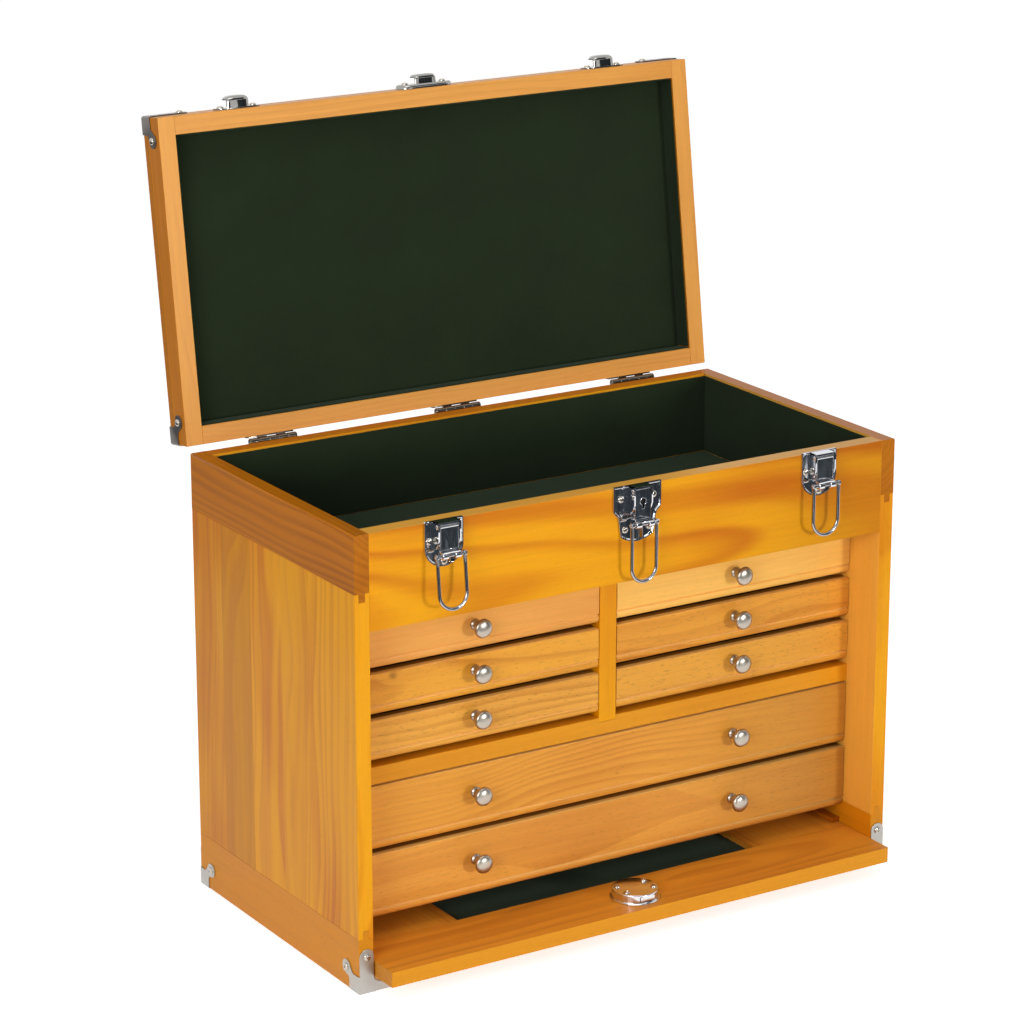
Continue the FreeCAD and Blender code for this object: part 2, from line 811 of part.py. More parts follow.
def latch_lever(x, house_width, pin_drop, knuckle_width, lip_reach):
    """The lever: a barrel on its pivot, a flat face, and a knuckle with a finger lip."""
    half = house_width / 2 - latch_wall - latch_side_play
    pivot_y, pivot_z = latch_pivot()
    pin_y = out(loop_pin_reach())
    pin_z = latch_top_z - pin_drop
    knuckle = latch_knuckle_radius()
    face_y = out(latch_house_depth - latch_face_inset)
    barrel = bar(latch_barrel_radius, knuckle_facets, x - half, x + half, pivot_y, pivot_z)
    face = block(x - half, x + half, face_y, face_y + latch_wall, pin_z + knuckle, pivot_z)
    grip = knuckle_width / 2
    curl = bar(knuckle, knuckle_facets, x - grip, x + grip, pin_y, pin_z)
    pin = bar(latch_pivot_pin_radius, pin_facets, x - house_width / 2, x + house_width / 2,
              pivot_y, pivot_z)
    lip = finger_lip(x - grip, face_y, pin_y, pin_z, out(lip_reach))
    lever = barrel.fuse([face, curl, pin, lip.extrude(V(knuckle_width, 0, 0))])
    hole = loop_wire_diameter / 2 + latch_pin_fit
    bore = bar(hole, pin_facets, x - grip - overrun, x + grip + overrun, pin_y, pin_z)
    return lever.cut(bore).removeSplitter()


def finger_lip(x, face_y, pin_y, pin_z, tip_y):
    """The profile that flares out of the lever face, over the knuckle, to the finger's edge."""
    shelf_z = pin_z + latch_knuckle_radius()
    flare_z = shelf_z + latch_flare
    shelf_y = face_y - latch_flare
    bend = latch_flare * (1 - arc_middle_share)
    tip_z = shelf_z + latch_lip_upturn
    return pressed_outline(V(x, face_y + latch_wall, pin_z), V(x, face_y + latch_wall, flare_z),
                           V(x, face_y, flare_z),
                           (V(x, face_y - bend, shelf_z + bend), V(x, shelf_y, shelf_z)),
                           V(x, tip_y, tip_z), V(x, tip_y, tip_z - latch_wall),
                           V(x, shelf_y, shelf_z - latch_wall), V(x, pin_y, pin_z))


def keyhole(x):
    """The round and the slot of a keyhole, through the face of the lever."""
    z = latch_top_z - keyhole_drop
    y0 = out(latch_house_depth)
    depth = latch_wall + latch_face_inset + overrun
    eye = Part.makeCylinder(keyhole_radius, depth, V(x, y0, z), V(0, 1, 0))
    half = keyhole_slot_width / 2
    return eye.fuse(block(x - half, x + half, y0, y0 + depth, z - keyhole_slot_length, z))


def loop_length(width, pin_drop, hook_rise, hook_depth, catch_thickness):
    """From the pin to the middle of the bow, to sit in the catch while the lever is down."""
    wire = loop_wire_diameter / 2
    bow = width / 2 - wire
    sink = bow - math.sqrt(bow ** 2 - (catch_hook_width / 2) ** 2)
    floor_z = lid_bottom_z + catch_bottom_rise + hook_rise + catch_hook_wall
    rise = floor_z + wire + sink - (latch_top_z - pin_drop)
    pocket = (catch_thickness + hook_depth - catch_hook_wall) / 2
    return math.hypot(rise, loop_pin_reach() - pocket)


def latch_loop(x, width, pin_drop, length):
    """A round pin across the top, and a wire that runs down, round the bow and up again."""
    y = out(loop_pin_reach())
    z = latch_top_z - pin_drop
    wire = loop_wire_diameter / 2
    half = width / 2 - wire
    bow_z = z - length + half
    points = [V(x - half, y, z + wire)]
    for number in range(loop_bow_facets + 1):
        turn = math.pi * number / loop_bow_facets
        points.append(V(x - half * math.cos(turn), y, bow_z - half * math.sin(turn)))
    points.append(V(x + half, y, z + wire))
    section = []
    for number in range(loop_wire_facets):
        turn = 2 * math.pi * (number + 1 / 2) / loop_wire_facets
        section.append(points[0] + V(wire * math.cos(turn), wire * math.sin(turn), 0))
    ring = Part.makePolygon(section + section[:1])
    mitred = 1
    bent = Part.makePolygon(points).makePipeShell([ring], True, False, mitred)
    return bent.fuse(rod(wire, x - half, x + half, y, z)).removeSplitter()


def hung(loop, pin_drop, tilt):
    """A loop swung out about its pin, the way that it hangs."""
    swung = loop.copy()
    swung.rotate(V(0, out(loop_pin_reach()), latch_top_z - pin_drop), V(1, 0, 0), -tilt)
    return swung


def make_side_latch(name, x, tilt):
    base = latch_base(side_latch_plate(x), x, side_house_width, side_house_height)
    keep("latch_plates", base)
    keep("%s_latch_lever" % name,
         latch_lever(x, side_house_width, side_loop_pin_drop, side_knuckle_width,
                     side_lip_reach))
    length = loop_length(side_loop_width, side_loop_pin_drop, catch_hook_rise,
                         catch_hook_depth, catch_plate_thickness)
    loop = latch_loop(x, side_loop_width, side_loop_pin_drop, length)
    keep("%s_latch_loop" % name, hung(loop, side_loop_pin_drop, tilt))
    face = out(latch_plate_thickness)
    for place_x, drop in ((x - side_screw_spread, side_screw_drop),
                          (x + side_screw_spread, side_screw_drop),
                          (x, side_foot_screw_drop)):
        keep("case_screws", screw_head(V(place_x, face, latch_top_z - drop), V(0, -1, 0)))


def make_centre_latch():
    x = 0
    base = latch_base(centre_latch_plate(x), x, centre_house_width, centre_house_height)
    keep("latch_plates", base)
    lever = latch_lever(x, centre_house_width, centre_loop_pin_drop, centre_knuckle_width,
                        centre_lip_reach)
    keep("centre_latch_lever", lever.cut(keyhole(x)))
    length = loop_length(centre_loop_width, centre_loop_pin_drop, centre_hook_rise,
                         centre_hook_depth, centre_catch_thickness)
    loop = latch_loop(x, centre_loop_width, centre_loop_pin_drop, length)
    bow = V(x, out(loop_pin_reach()), latch_top_z - centre_loop_pin_drop - length)
    nub = faceted([(loop_nub_radius, 0), (loop_nub_radius, loop_nub_height)],
                  loop_wire_facets, bow, V(0, 0, 1))
    keep("centre_latch_loop", loop.fuse(nub))
    face = out(latch_plate_thickness)
    for spread, drop in ((centre_screw_spread, centre_screw_drop),
                         (centre_foot_screw_spread, centre_foot_screw_drop)):
        for side in (-1, 1):
            keep("case_screws",
                 screw_head(V(x + side * spread, face, latch_top_z - drop), V(0, -1, 0)))


# Lid catches

def catch_plate(x, width, height, thickness):
    """A plate with round ends on the front edge of the closed lid."""
    z0 = lid_bottom_z + catch_bottom_rise
    z1 = z0 + height
    radius = height / 2
    half = width / 2 - radius
    middle = z0 + radius
    face = pressed_outline(V(x - half, front_y, z0), V(x + half, front_y, z0),
                           (V(x + width / 2, front_y, middle), V(x + half, front_y, z1)),
                           V(x - half, front_y, z1),
                           (V(x - width / 2, front_y, middle), V(x - half, front_y, z0)))
    return face.extrude(V(0, -thickness, 0))


def catch_hook(x, thickness, rise, depth):
    """A pocket, open upwards, that holds the bow of a raised loop."""
    half = catch_hook_width / 2
    z0 = lid_bottom_z + catch_bottom_rise + rise
    floor = block(x - half, x + half, out(depth), out(thickness), z0, z0 + catch_hook_wall)
    wall = block(x - half, x + half, out(depth), out(depth - catch_hook_wall), z0,
                 z0 + catch_hook_height)
    hook = floor.fuse(wall).removeSplitter()
    return rounded(hook, catch_hook_round,
                   lambda edge: abs(edge.Length - catch_hook_wall) < Part.Precision.confusion()
                   and lies_at(edge, "z", z0 + catch_hook_height))


def make_catches():
    for x in (-fitting_x, fitting_x):
        plate = catch_plate(x, catch_plate_width, catch_plate_height, catch_plate_thickness)
        hook = catch_hook(x, catch_plate_thickness, catch_hook_rise, catch_hook_depth)
        catch = plate.fuse(hook).removeSplitter()
        keep("lid_catches", opened(catch))
        catch_screws(x, catch_screw_spread, catch_plate_height, catch_plate_thickness)
    plate = catch_plate(0, centre_catch_width, centre_catch_height, centre_catch_thickness)
    front = out(centre_catch_thickness)
    plate = plate.makeChamfer(centre_catch_bevel,
                              [edge for edge in plate.Edges if edge_in_plane(edge, front)])
    hook = catch_hook(0, centre_catch_thickness, centre_hook_rise, centre_hook_depth)
    catch = plate.fuse(hook).removeSplitter()
    keep("lid_catches", opened(catch))
    catch_screws(0, centre_catch_screw_spread, centre_catch_height, centre_catch_thickness)


def catch_screws(x, spread, height, thickness):
    z = lid_bottom_z + catch_bottom_rise + height / 2
    for side in (-1, 1):
        keep("lid_screws",
             opened(screw_head(V(x + side * spread, out(thickness), z), V(0, -1, 0))))


# Slide-away front panel

panel_z0 = base_top_z + seat_gap
panel_z1 = panel_z0 + panel_thickness
panel_length = tray_bottom_z - base_top_z - panel_close_gap
panel_back_y = inner_back_y - seat_gap
panel_front_y = panel_back_y - panel_length
panel_x = inner_x - panel_side_gap
lock_y = panel_front_y + panel_lock_setback


def make_panel():
    """A framed panel, felt-faced on its inner side, lying in its slot under the drawers."""
    front_rail = block(-panel_x, panel_x, panel_front_y, panel_front_y + panel_rail_width,
                       panel_z0, panel_z1)
    front_rail = rounded(front_rail, panel_corner_round,
                         lambda edge: lies_at(edge, "y", panel_front_y)
                         and lies_at(edge, "x", edge.Vertexes[0].Point.x))
    bore = Part.makeCylinder(lock_plug_diameter / 2 + lock_plug_fit,
                             panel_thickness, V(panel_lock_offset, lock_y, panel_z0))
    back_y0 = panel_back_y - panel_rail_width
    front_y1 = panel_front_y + panel_rail_width
    keep("panel_frame", front_rail.cut(bore),
         block(-panel_x, panel_x, back_y0, panel_back_y, panel_z0, panel_z1))
    stile = block(-panel_x, -panel_x + panel_stile_width, front_y1, back_y0, panel_z0, panel_z1)
    keep("panel_frame", stile, mirrored(stile))
    field_x = panel_x - panel_stile_width
    field_z = panel_z0 + panel_field_rise
    felt_z = field_z + panel_field_thickness
    keep("panel_board", block(-field_x, field_x, front_y1, back_y0, field_z, felt_z))
    keep("panel_felt", block(-field_x, field_x, front_y1, back_y0, felt_z,
                             felt_z + felt_thickness))
    guide_y = front_y + panel_guide_start
    guide_z = panel_z1 + seat_gap
    guide = block(-inner_x, -inner_x + panel_guide_width, guide_y, inner_back_y, guide_z,
                  guide_z + panel_guide_height)
    keep("drawer_runners", guide, mirrored(guide))


def make_panel_lock():
    """A round lock case with a flange, its bolt, and the plug that the key turns."""
    x = panel_lock_offset
    flange_radius = lock_flange_diameter / 2
    radius = lock_case_diameter / 2
    case = faceted([(flange_radius, 0), (flange_radius, lock_flange_thickness),
                    (radius, lock_flange_thickness), (radius, lock_case_height)],
                   lock_case_facets, V(x, lock_y, panel_z1), V(0, 0, 1))
    bolt_y = lock_y - lock_case_diameter / 2 + lock_bolt_inset
    bolt_z = panel_z1 + lock_flange_thickness + lock_bolt_floor
    half = lock_bolt_width / 2
    fit = lock_bolt_fit
    channel = block(x - half - fit, x + half + fit, bolt_y - lock_bolt_inset - overrun,
                    bolt_y + lock_bolt_length + fit, bolt_z - fit,
                    bolt_z + lock_bolt_height + fit)
    keep("panel_lock_case", case.cut(channel))
    for spread in (-lock_screw_spread, lock_screw_spread):
        for depth in (-lock_screw_depth, lock_screw_depth):
            place = V(x + spread, lock_y + depth, panel_z1 + lock_case_height)
            keep("panel_lock_case", screw_head(place, V(0, 0, 1)))
    keep("panel_lock_bolt", block(x - half, x + half, bolt_y, bolt_y + lock_bolt_length,
                                  bolt_z, bolt_z + lock_bolt_height))
    plug = Part.makeCylinder(lock_plug_diameter / 2, panel_thickness, V(x, lock_y, panel_z0))
    slot = block(x - keyway_width / 2, x + keyway_width / 2, lock_y - keyway_length / 2,
                 lock_y + keyway_length / 2, panel_z0, panel_z0 + keyway_depth)
    keep("panel_lock_plug", plug.cut(slot))


def main():
    make_case()
    make_tray_felt()
    make_drawers()
    make_lid()
    for x in (-fitting_x, 0, fitting_x):
        make_hinge(x)
    make_guards()
    make_side_latch("left", -fitting_x, left_loop_tilt)
    make_centre_latch()
    make_side_latch("right", fitting_x, 0)
    make_catches()
    make_panel()
    make_panel_lock()
    os.makedirs("parts", exist_ok=True)
    for name, solids in parts.items():
        shape = solids[0] if len(solids) == 1 else Part.makeCompound(solids)
        shape.exportStep("parts/%s.step" % name)
        print(name, len(shape.Solids), round(shape.Volume), shape.isValid())


main()
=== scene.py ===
import math

import bmesh
import bpy
from bpy.props import FloatProperty, FloatVectorProperty, PointerProperty
from mathutils import Matrix, Vector, noise


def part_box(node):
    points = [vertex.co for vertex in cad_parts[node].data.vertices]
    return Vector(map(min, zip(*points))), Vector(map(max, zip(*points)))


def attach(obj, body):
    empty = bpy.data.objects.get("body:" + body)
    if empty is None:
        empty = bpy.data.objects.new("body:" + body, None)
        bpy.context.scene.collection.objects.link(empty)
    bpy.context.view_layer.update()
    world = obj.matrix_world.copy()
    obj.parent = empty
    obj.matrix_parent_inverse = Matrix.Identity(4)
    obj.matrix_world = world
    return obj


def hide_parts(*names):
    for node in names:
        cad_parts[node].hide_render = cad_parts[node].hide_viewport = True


bl_info = {
    "name": "Machinist's toolbox",
    "version": (1, 0, 0),
    "blender": (4, 5, 0),
    "location": "3D View > Sidebar > Toolbox",
    "description": "Woods, felts and metal fittings of a machinist's toolbox, on its packed frame",
    "category": "Object",
}

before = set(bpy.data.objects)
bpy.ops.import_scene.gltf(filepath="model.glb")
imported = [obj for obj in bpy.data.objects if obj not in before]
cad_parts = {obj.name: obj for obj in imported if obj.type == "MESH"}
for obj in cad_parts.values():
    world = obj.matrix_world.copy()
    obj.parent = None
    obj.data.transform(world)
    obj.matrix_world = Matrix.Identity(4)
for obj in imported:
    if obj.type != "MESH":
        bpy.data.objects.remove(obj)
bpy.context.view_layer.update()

# Places of the frame that the fittings are set out from, in millimetres
MM = 0.001
HALF_WIDTH = 255.0
FRONT_Y = -133.0
BACK_Y = 133.0
FOOT_Z = 1.0
WALL_X = 248.5
LID_LOW_Z = 374.8
LID_TOP_Z = 402.8
LATCH_TOP_Z = 376.0
CATCH_LOW_Z = 379.8
HINGE_Y = 137.4
HINGE_Z = 374.15
LID_ANGLE = math.radians(98)


def srgb(red, green, blue):
    """A colour as it shows on a screen, turned to the linear values that shaders take."""
    return tuple(((level / 255 + 0.055) / 1.055) ** 2.4 for level in (red, green, blue))


def colour(name, description, *levels):
    """A setting for a colour, given by its levels from 0 to 255."""
    return FloatVectorProperty(name=name, description=description, subtype="COLOR",
                               size=3, min=0, max=1, default=srgb(*levels))


def length(name, description, millimetres):
    return FloatProperty(name=name, description=description, unit="LENGTH",
                         min=0, default=millimetres * MM)


def share(name, description, value):
    return FloatProperty(name=name, description=description, subtype="FACTOR",
                         min=0, max=1, default=value)


# What a user would change

class WoodSettings(bpy.types.PropertyGroup):
    """Tones of the varnished pine and how strongly it is figured."""
    plank_pale: colour("Side plank", "Spring wood of the upright side planks", 238, 162, 10)
    plank_deep: colour("Side plank, deep", "Summer wood of the side planks", 200, 104, 2)
    rail_pale: colour("Side rail", "Spring wood of the side rails", 200, 118, 2)
    rail_deep: colour("Side rail, deep", "Summer wood of the side rails", 146, 70, 2)
    foot_pale: colour("Foot rail", "Spring wood of the lower side rails", 228, 146, 18)
    foot_deep: colour("Foot rail, deep", "Summer wood of the lower side rails", 176, 98, 14)
    front_pale: colour("Front board", "Spring wood of the front board", 240, 163, 0)
    front_deep: colour("Front board, deep", "Summer wood of the front board", 206, 112, 0)
    shelf_pale: colour("Shelf", "Spring wood of the shelf", 228, 152, 26)
    shelf_deep: colour("Shelf, deep", "Summer wood of the shelf", 204, 122, 24)
    lid_pale: colour("Lid", "Spring wood of the lid's frame", 236, 164, 76)
    lid_deep: colour("Lid, deep", "Summer wood of the lid's frame", 202, 126, 48)
    panel_pale: colour("Panel", "Spring wood of the front panel", 230, 152, 46)
    panel_deep: colour("Panel, deep", "Summer wood of the front panel", 176, 94, 28)
    inner_pale: colour("Inner wood", "Drawer sides, runners and hidden boards", 226, 188, 128)
    inner_deep: colour("Inner wood, deep", "Summer wood of the hidden boards", 196, 150, 92)
    # Painted light: a paler tint on the inward faces of the sides and on the top and bottom faces
    # of the front board
    painted_light_pale: colour("Planed faces", "Freshly planed inner faces and rims", 248, 182, 74)
    # Painted highlight: the tint of the upward faces of the beads on the drawer fronts
    bead_pale: colour("Beads", "Upward faces of the beads on the drawer fronts", 255, 208, 118)
    varnish: share("Varnish", "Weight of the clear coat over the wood", 0.06)
    dullness: share("Varnish dullness", "Roughness of the varnished wood", 0.42)
    arris: length("Arris", "Width of the eased edges of every board", 0.45)


class FeltSettings(bpy.types.PropertyGroup):
    """The green lining."""
    tint: colour("Felt", "Colour of the felt", 36, 49, 26)
    shade: colour("Felt, shade", "Colour between its tufts", 18, 27, 13)
    thickness: length("Thickness", "Thickness of the felt", 1.4)
    ripple: length("Ripple", "How far the glued felt swells and dips", 0.16)


class MetalSettings(bpy.types.PropertyGroup):
    """Plated and pressed fittings."""
    chrome: colour("Chrome", "Plating of latches, loops and catches", 222, 224, 228)
    nickel: colour("Nickel", "Satin plating of the knobs", 186, 178, 166)
    steel: colour("Steel", "Pressed steel of the guards on the case", 176, 175, 170)
    # Painted shade: a darker copy of the guard steel, for the lid's guards
    shaded_lid_steel: colour("Lid steel", "Pressed steel of the guards on the lid", 122, 117, 112)
    # Painted shade: a darker copy of the chrome, for the catches
    catch: colour("Catches", "Plating of the catches on the lid", 166, 164, 160)
    # Painted shade: a darker copy of the chrome, for the loops
    loop: colour("Loop wire", "Plating of the latch loops", 176, 178, 182)
    screw: colour("Screw", "Plating of the screw heads", 196, 190, 180)
    hinge: colour("Hinge", "Plating of the hinges", 128, 118, 106)
    chrome_dullness: share("Chrome dullness", "Roughness of the chrome", 0.07)
    nickel_dullness: share("Nickel dullness", "Roughness of the satin nickel", 0.3)
    wire: length("Loop wire", "Diameter of the latch loops' wire", 3.0)
    sheet: length("Guard sheet", "Thickness of the corner guards", 1.0)
    knob: length("Knob", "Diameter of a drawer knob", 15.8)
    screw_head: length("Screw head", "Diameter of a screw head", 5.8)


class StageSettings(bpy.types.PropertyGroup):
    """Floor, lamps and camera."""
    floor: colour("Floor", "Colour of the floor", 250, 250, 250)
    lift: share("Floor lift", "What the floor adds to look white to cameras and mirrors", 0.66)
    ambient: share("Surround", "Strength of the even light from all round", 0.34)
    key: FloatProperty(name="Key lamp", description="Strength of the lamp in front", default=35.0)
    side: FloatProperty(name="Side lamp", description="Strength of the lamp on the left",
                        default=19.0)
    top: FloatProperty(name="Top lamp", description="Strength of the lamp above", default=10.0)
    lens: FloatProperty(name="Lens", description="Focal length of the camera", unit="CAMERA",
                        default=129.107)


# Shader maths

class Value:
    """An output of a shader node. Sums and products of values add their Math nodes."""

    def __init__(self, finish, socket):
        self.finish = finish
        self.socket = socket

    def _join(self, operation, first, second=0.0):
        return self.finish.node("ShaderNodeMath", {"operation": operation},
                                {0: first, 1: second})

    def __add__(self, other):
        return self._join("ADD", self, other)

    def __sub__(self, other):
        return self._join("SUBTRACT", self, other)

    def __rsub__(self, other):
        return self._join("SUBTRACT", other, self)

    def __mul__(self, other):
        return self._join("MULTIPLY", self, other)

    def __truediv__(self, other):
        return self._join("DIVIDE", self, other)

    def __rtruediv__(self, other):
        return self._join("DIVIDE", other, self)

    def __pow__(self, other):
        return self._join("POWER", self, other)

    def __mod__(self, other):
        return self._join("FLOORED_MODULO", self, other)

    def __gt__(self, other):
        return self._join("GREATER_THAN", self, other)

    def __abs__(self):
        return self._join("ABSOLUTE", self)

    __radd__ = __add__

    def part(self, name):
        """Another output of the same node."""
        return Value(self.finish, self.socket.node.outputs[name])

    def between(self, low, high):
        """0 below low, 1 above high, and a smooth rise between them."""
        return self.finish.node("ShaderNodeMapRange", {"interpolation_type": "SMOOTHSTEP"},
                                {"Value": self, "From Min": low, "From Max": high})


class NodeWork:
    """Adds nodes to one tree."""

    def __init__(self, tree):
        self.tree = tree

    def node(self, kind, settings, values, output=0):
        """Add a node: its settings first, then the values or links of its sockets."""
        made = self.tree.nodes.new(kind)
        for key, value in settings.items():
            if key == "stops":
                self._set_stops(made.color_ramp, value)
            else:
                setattr(made, key, value)
        for key, value in values.items():
            self._plug(made.inputs[key], value)
        return Value(self, made.outputs[output])

    def _set_stops(self, ramp, stops):
        ramp.interpolation = "CONSTANT"
        while len(ramp.elements) < len(stops):
            ramp.elements.new(1.0)
        for element, (position, tone) in zip(ramp.elements, stops):
            element.position = position
            element.color = (tone, tone, tone, 1)

    def _plug(self, socket, value):
        if isinstance(value, Value):
            self.tree.links.new(value.socket, socket)
        elif socket.type == "RGBA" and len(value) == 3:
            socket.default_value = (*value, 1)
        else:
            socket.default_value = value

    def place(self, output="Object"):
        return self.node("ShaderNodeTexCoord", {}, {}, output)

    def noise(self, vector, detail=2.0, roughness=0.5):
        return self.node("ShaderNodeTexNoise", {},
                         {"Vector": vector, "Scale": 1.0, "Detail": detail,
                          "Roughness": roughness})

    def noise_at(self, x, y, z, detail=2.0, roughness=0.5):
        """Noise at a place given by three values, each already times its waves per metre."""
        vector = self.node("ShaderNodeCombineXYZ", {}, {0: x, 1: y, 2: z})
        return self.noise(vector, detail, roughness)

    def haze(self, waves, detail=2.0, roughness=0.5):
        """Noise of so many waves per metre along x, y and z."""
        vector = self.node("ShaderNodeVectorMath", {"operation": "MULTIPLY"},
                           {0: self.place(), 1: waves})
        return self.noise(vector, detail, roughness)

    def mix(self, factor, first, second, blend="MIX"):
        return self.node("ShaderNodeMix", {"data_type": "RGBA", "blend_type": blend},
                         {0: factor, 6: first, 7: second}, 2)


finishes = {}


class Finish(NodeWork):
    """A material in the making, on one Principled shader. Pieces find it in finishes."""

    def __init__(self, name, constants):
        material = bpy.data.materials.new(name)
        material.use_nodes = True
        finishes[name] = material
        super().__init__(material.node_tree)
        self.shader = self.tree.nodes["Principled BSDF"]
        for socket, value in constants.items():
            self.shader.inputs[socket].default_value = value

    def feed(self, socket, value):
        self.tree.links.new(value.socket, self.shader.inputs[socket])

    def emboss(self, height, depth, strength):
        """Feed a height, in shares of depth metres, through a Bump node."""
        self.feed("Normal", self.node("ShaderNodeBump", {}, {
            "Strength": strength, "Distance": depth, "Height": height}))


# Materials. Shader lengths are metres.

# Axes along, across and deep into a board, by the axis of its grain
GRAIN_ORDER = {"X": (0, 1, 2), "Y": (1, 0, 2), "Z": (2, 1, 0)}
# Middle of a stile, from its inner edge
STILE_MIDDLE = 0.03
# How far apart seeds, and the two boards of a pair, are in the noises
SEED_STEP = 1.31
RIGHT_STEP = 0.37
# How far knots reach along the grain: the rings that they bend, and their stain
KNOT_SWEEP = 1.6
KNOT_STAIN = 1.3
# Where a face starts and ends to count as looking along an axis
ALONG_FACE = (0.6, 0.9)
# How deep pores, tufts and scratches go
FIBRE_DEPTH = 0.0001
TUFT_DEPTH = 0.0004
SCRATCH_DEPTH = 0.00002


def board_axes(finish, node, grain, pair, lid):
    """Point and facing, and the places along, across and deep into a board from its middle.

    A pair of boards, left and right, shares its rings. The lid's boards are read as closed.
    """
    place = finish.place()
    normal = finish.place("Normal")
    low, high = cad_corners(node)
    centre = (low + high) / 2 * MM
    if lid:
        centre = Matrix.Rotation(LID_ANGLE, 3, "X") @ centre
        place, normal = (finish.node("ShaderNodeMapping", {"vector_type": "POINT"},
                                     {"Vector": opened, "Rotation": (LID_ANGLE, 0, 0)})
                         for opened in (place, normal))
    point = finish.node("ShaderNodeSeparateXYZ", {}, {0: place})
    facing = finish.node("ShaderNodeSeparateXYZ", {}, {0: normal})
    axes = []
    for axis in GRAIN_ORDER[grain]:
        value, middle = point.part("XYZ"[axis]), centre[axis]
        if pair and axis == 0:
            value, middle = abs(value), WALL_X * MM
        axes.append(value - middle)
    return point, facing, axes


def turn_stiles(point, facing, along, across, end, stiles):
    """Turn the grain by a right angle in the stiles, which lie beside the field."""
    inner_x, low_y, high_y = stiles
    wide = abs(point.part("X"))
    stile = (wide > inner_x) * (point.part("Y") > low_y) * (1 - (point.part("Y") > high_y))
    return (along + (across - along) * stile,
            across + (wide - inner_x - STILE_MIDDLE - across) * stile,
            end + (abs(facing.part("Y")) - end) * stile)


def knot_reach(knot, stretch, along, across, depth):
    """How far a point is from a knot's middle, in the knot's own radii."""
    knot_along, knot_across, knot_depth, radius = knot
    return (((along - knot_along) / stretch) ** 2.0 + (across - knot_across) ** 2.0
            + (depth - knot_depth) ** 2.0) ** 0.5 / radius


def year_rings(finish, along, across, depth, shift, pith, ring, drift, slant, calm, knots):
    """The dark wood of each year, how the grain wanders there and how single fibres stray.

    Rings lie about the pith. Each knot pushes them aside.
    """
    wander = finish.noise_at(along * 1.9 + shift, across * 7, depth * 7)
    bend = finish.noise_at(along * 2.7, across * 9 + shift, depth * 9 + 4.4)
    u = across - pith[0] + (wander - 0.5) * drift + along * slant
    v = depth - pith[1] + (bend - 0.5) * drift
    for knot in knots:
        reach = knot_reach(knot, KNOT_SWEEP, along, across, depth)
        v = v + (knot[-1] * 1.4) / (reach * reach + 1.0)
    radius = (u * u + v * v) ** 0.5
    spread = finish.noise_at(radius * 42, shift, 0.7, 2.0, 0.6)
    stray = finish.noise_at(along * 7, across * 60, depth * 60 + shift)
    phase = (radius / ring + spread * 5.0 + stray * 0.2) % 1.0
    crest = 0.9 - calm * 0.3
    summer = phase.between(0.25 - calm * 0.2, crest) - phase.between(crest, 1.0)
    return summer, wander, stray


def paint_face_light(finish, point, facing, streak, body, faced):
    """Painted light and shade: mix a paler or darker tint over the faces that look along an axis,
    or in towards the middle.
    """
    side, tint = faced
    if side == "inward":
        towards = facing.part("X") * point.part("X") * -4.0
    else:
        towards = abs(facing.part(side))
    return finish.mix(towards.between(*ALONG_FACE) * (0.8 + streak * 0.3), body, tint)


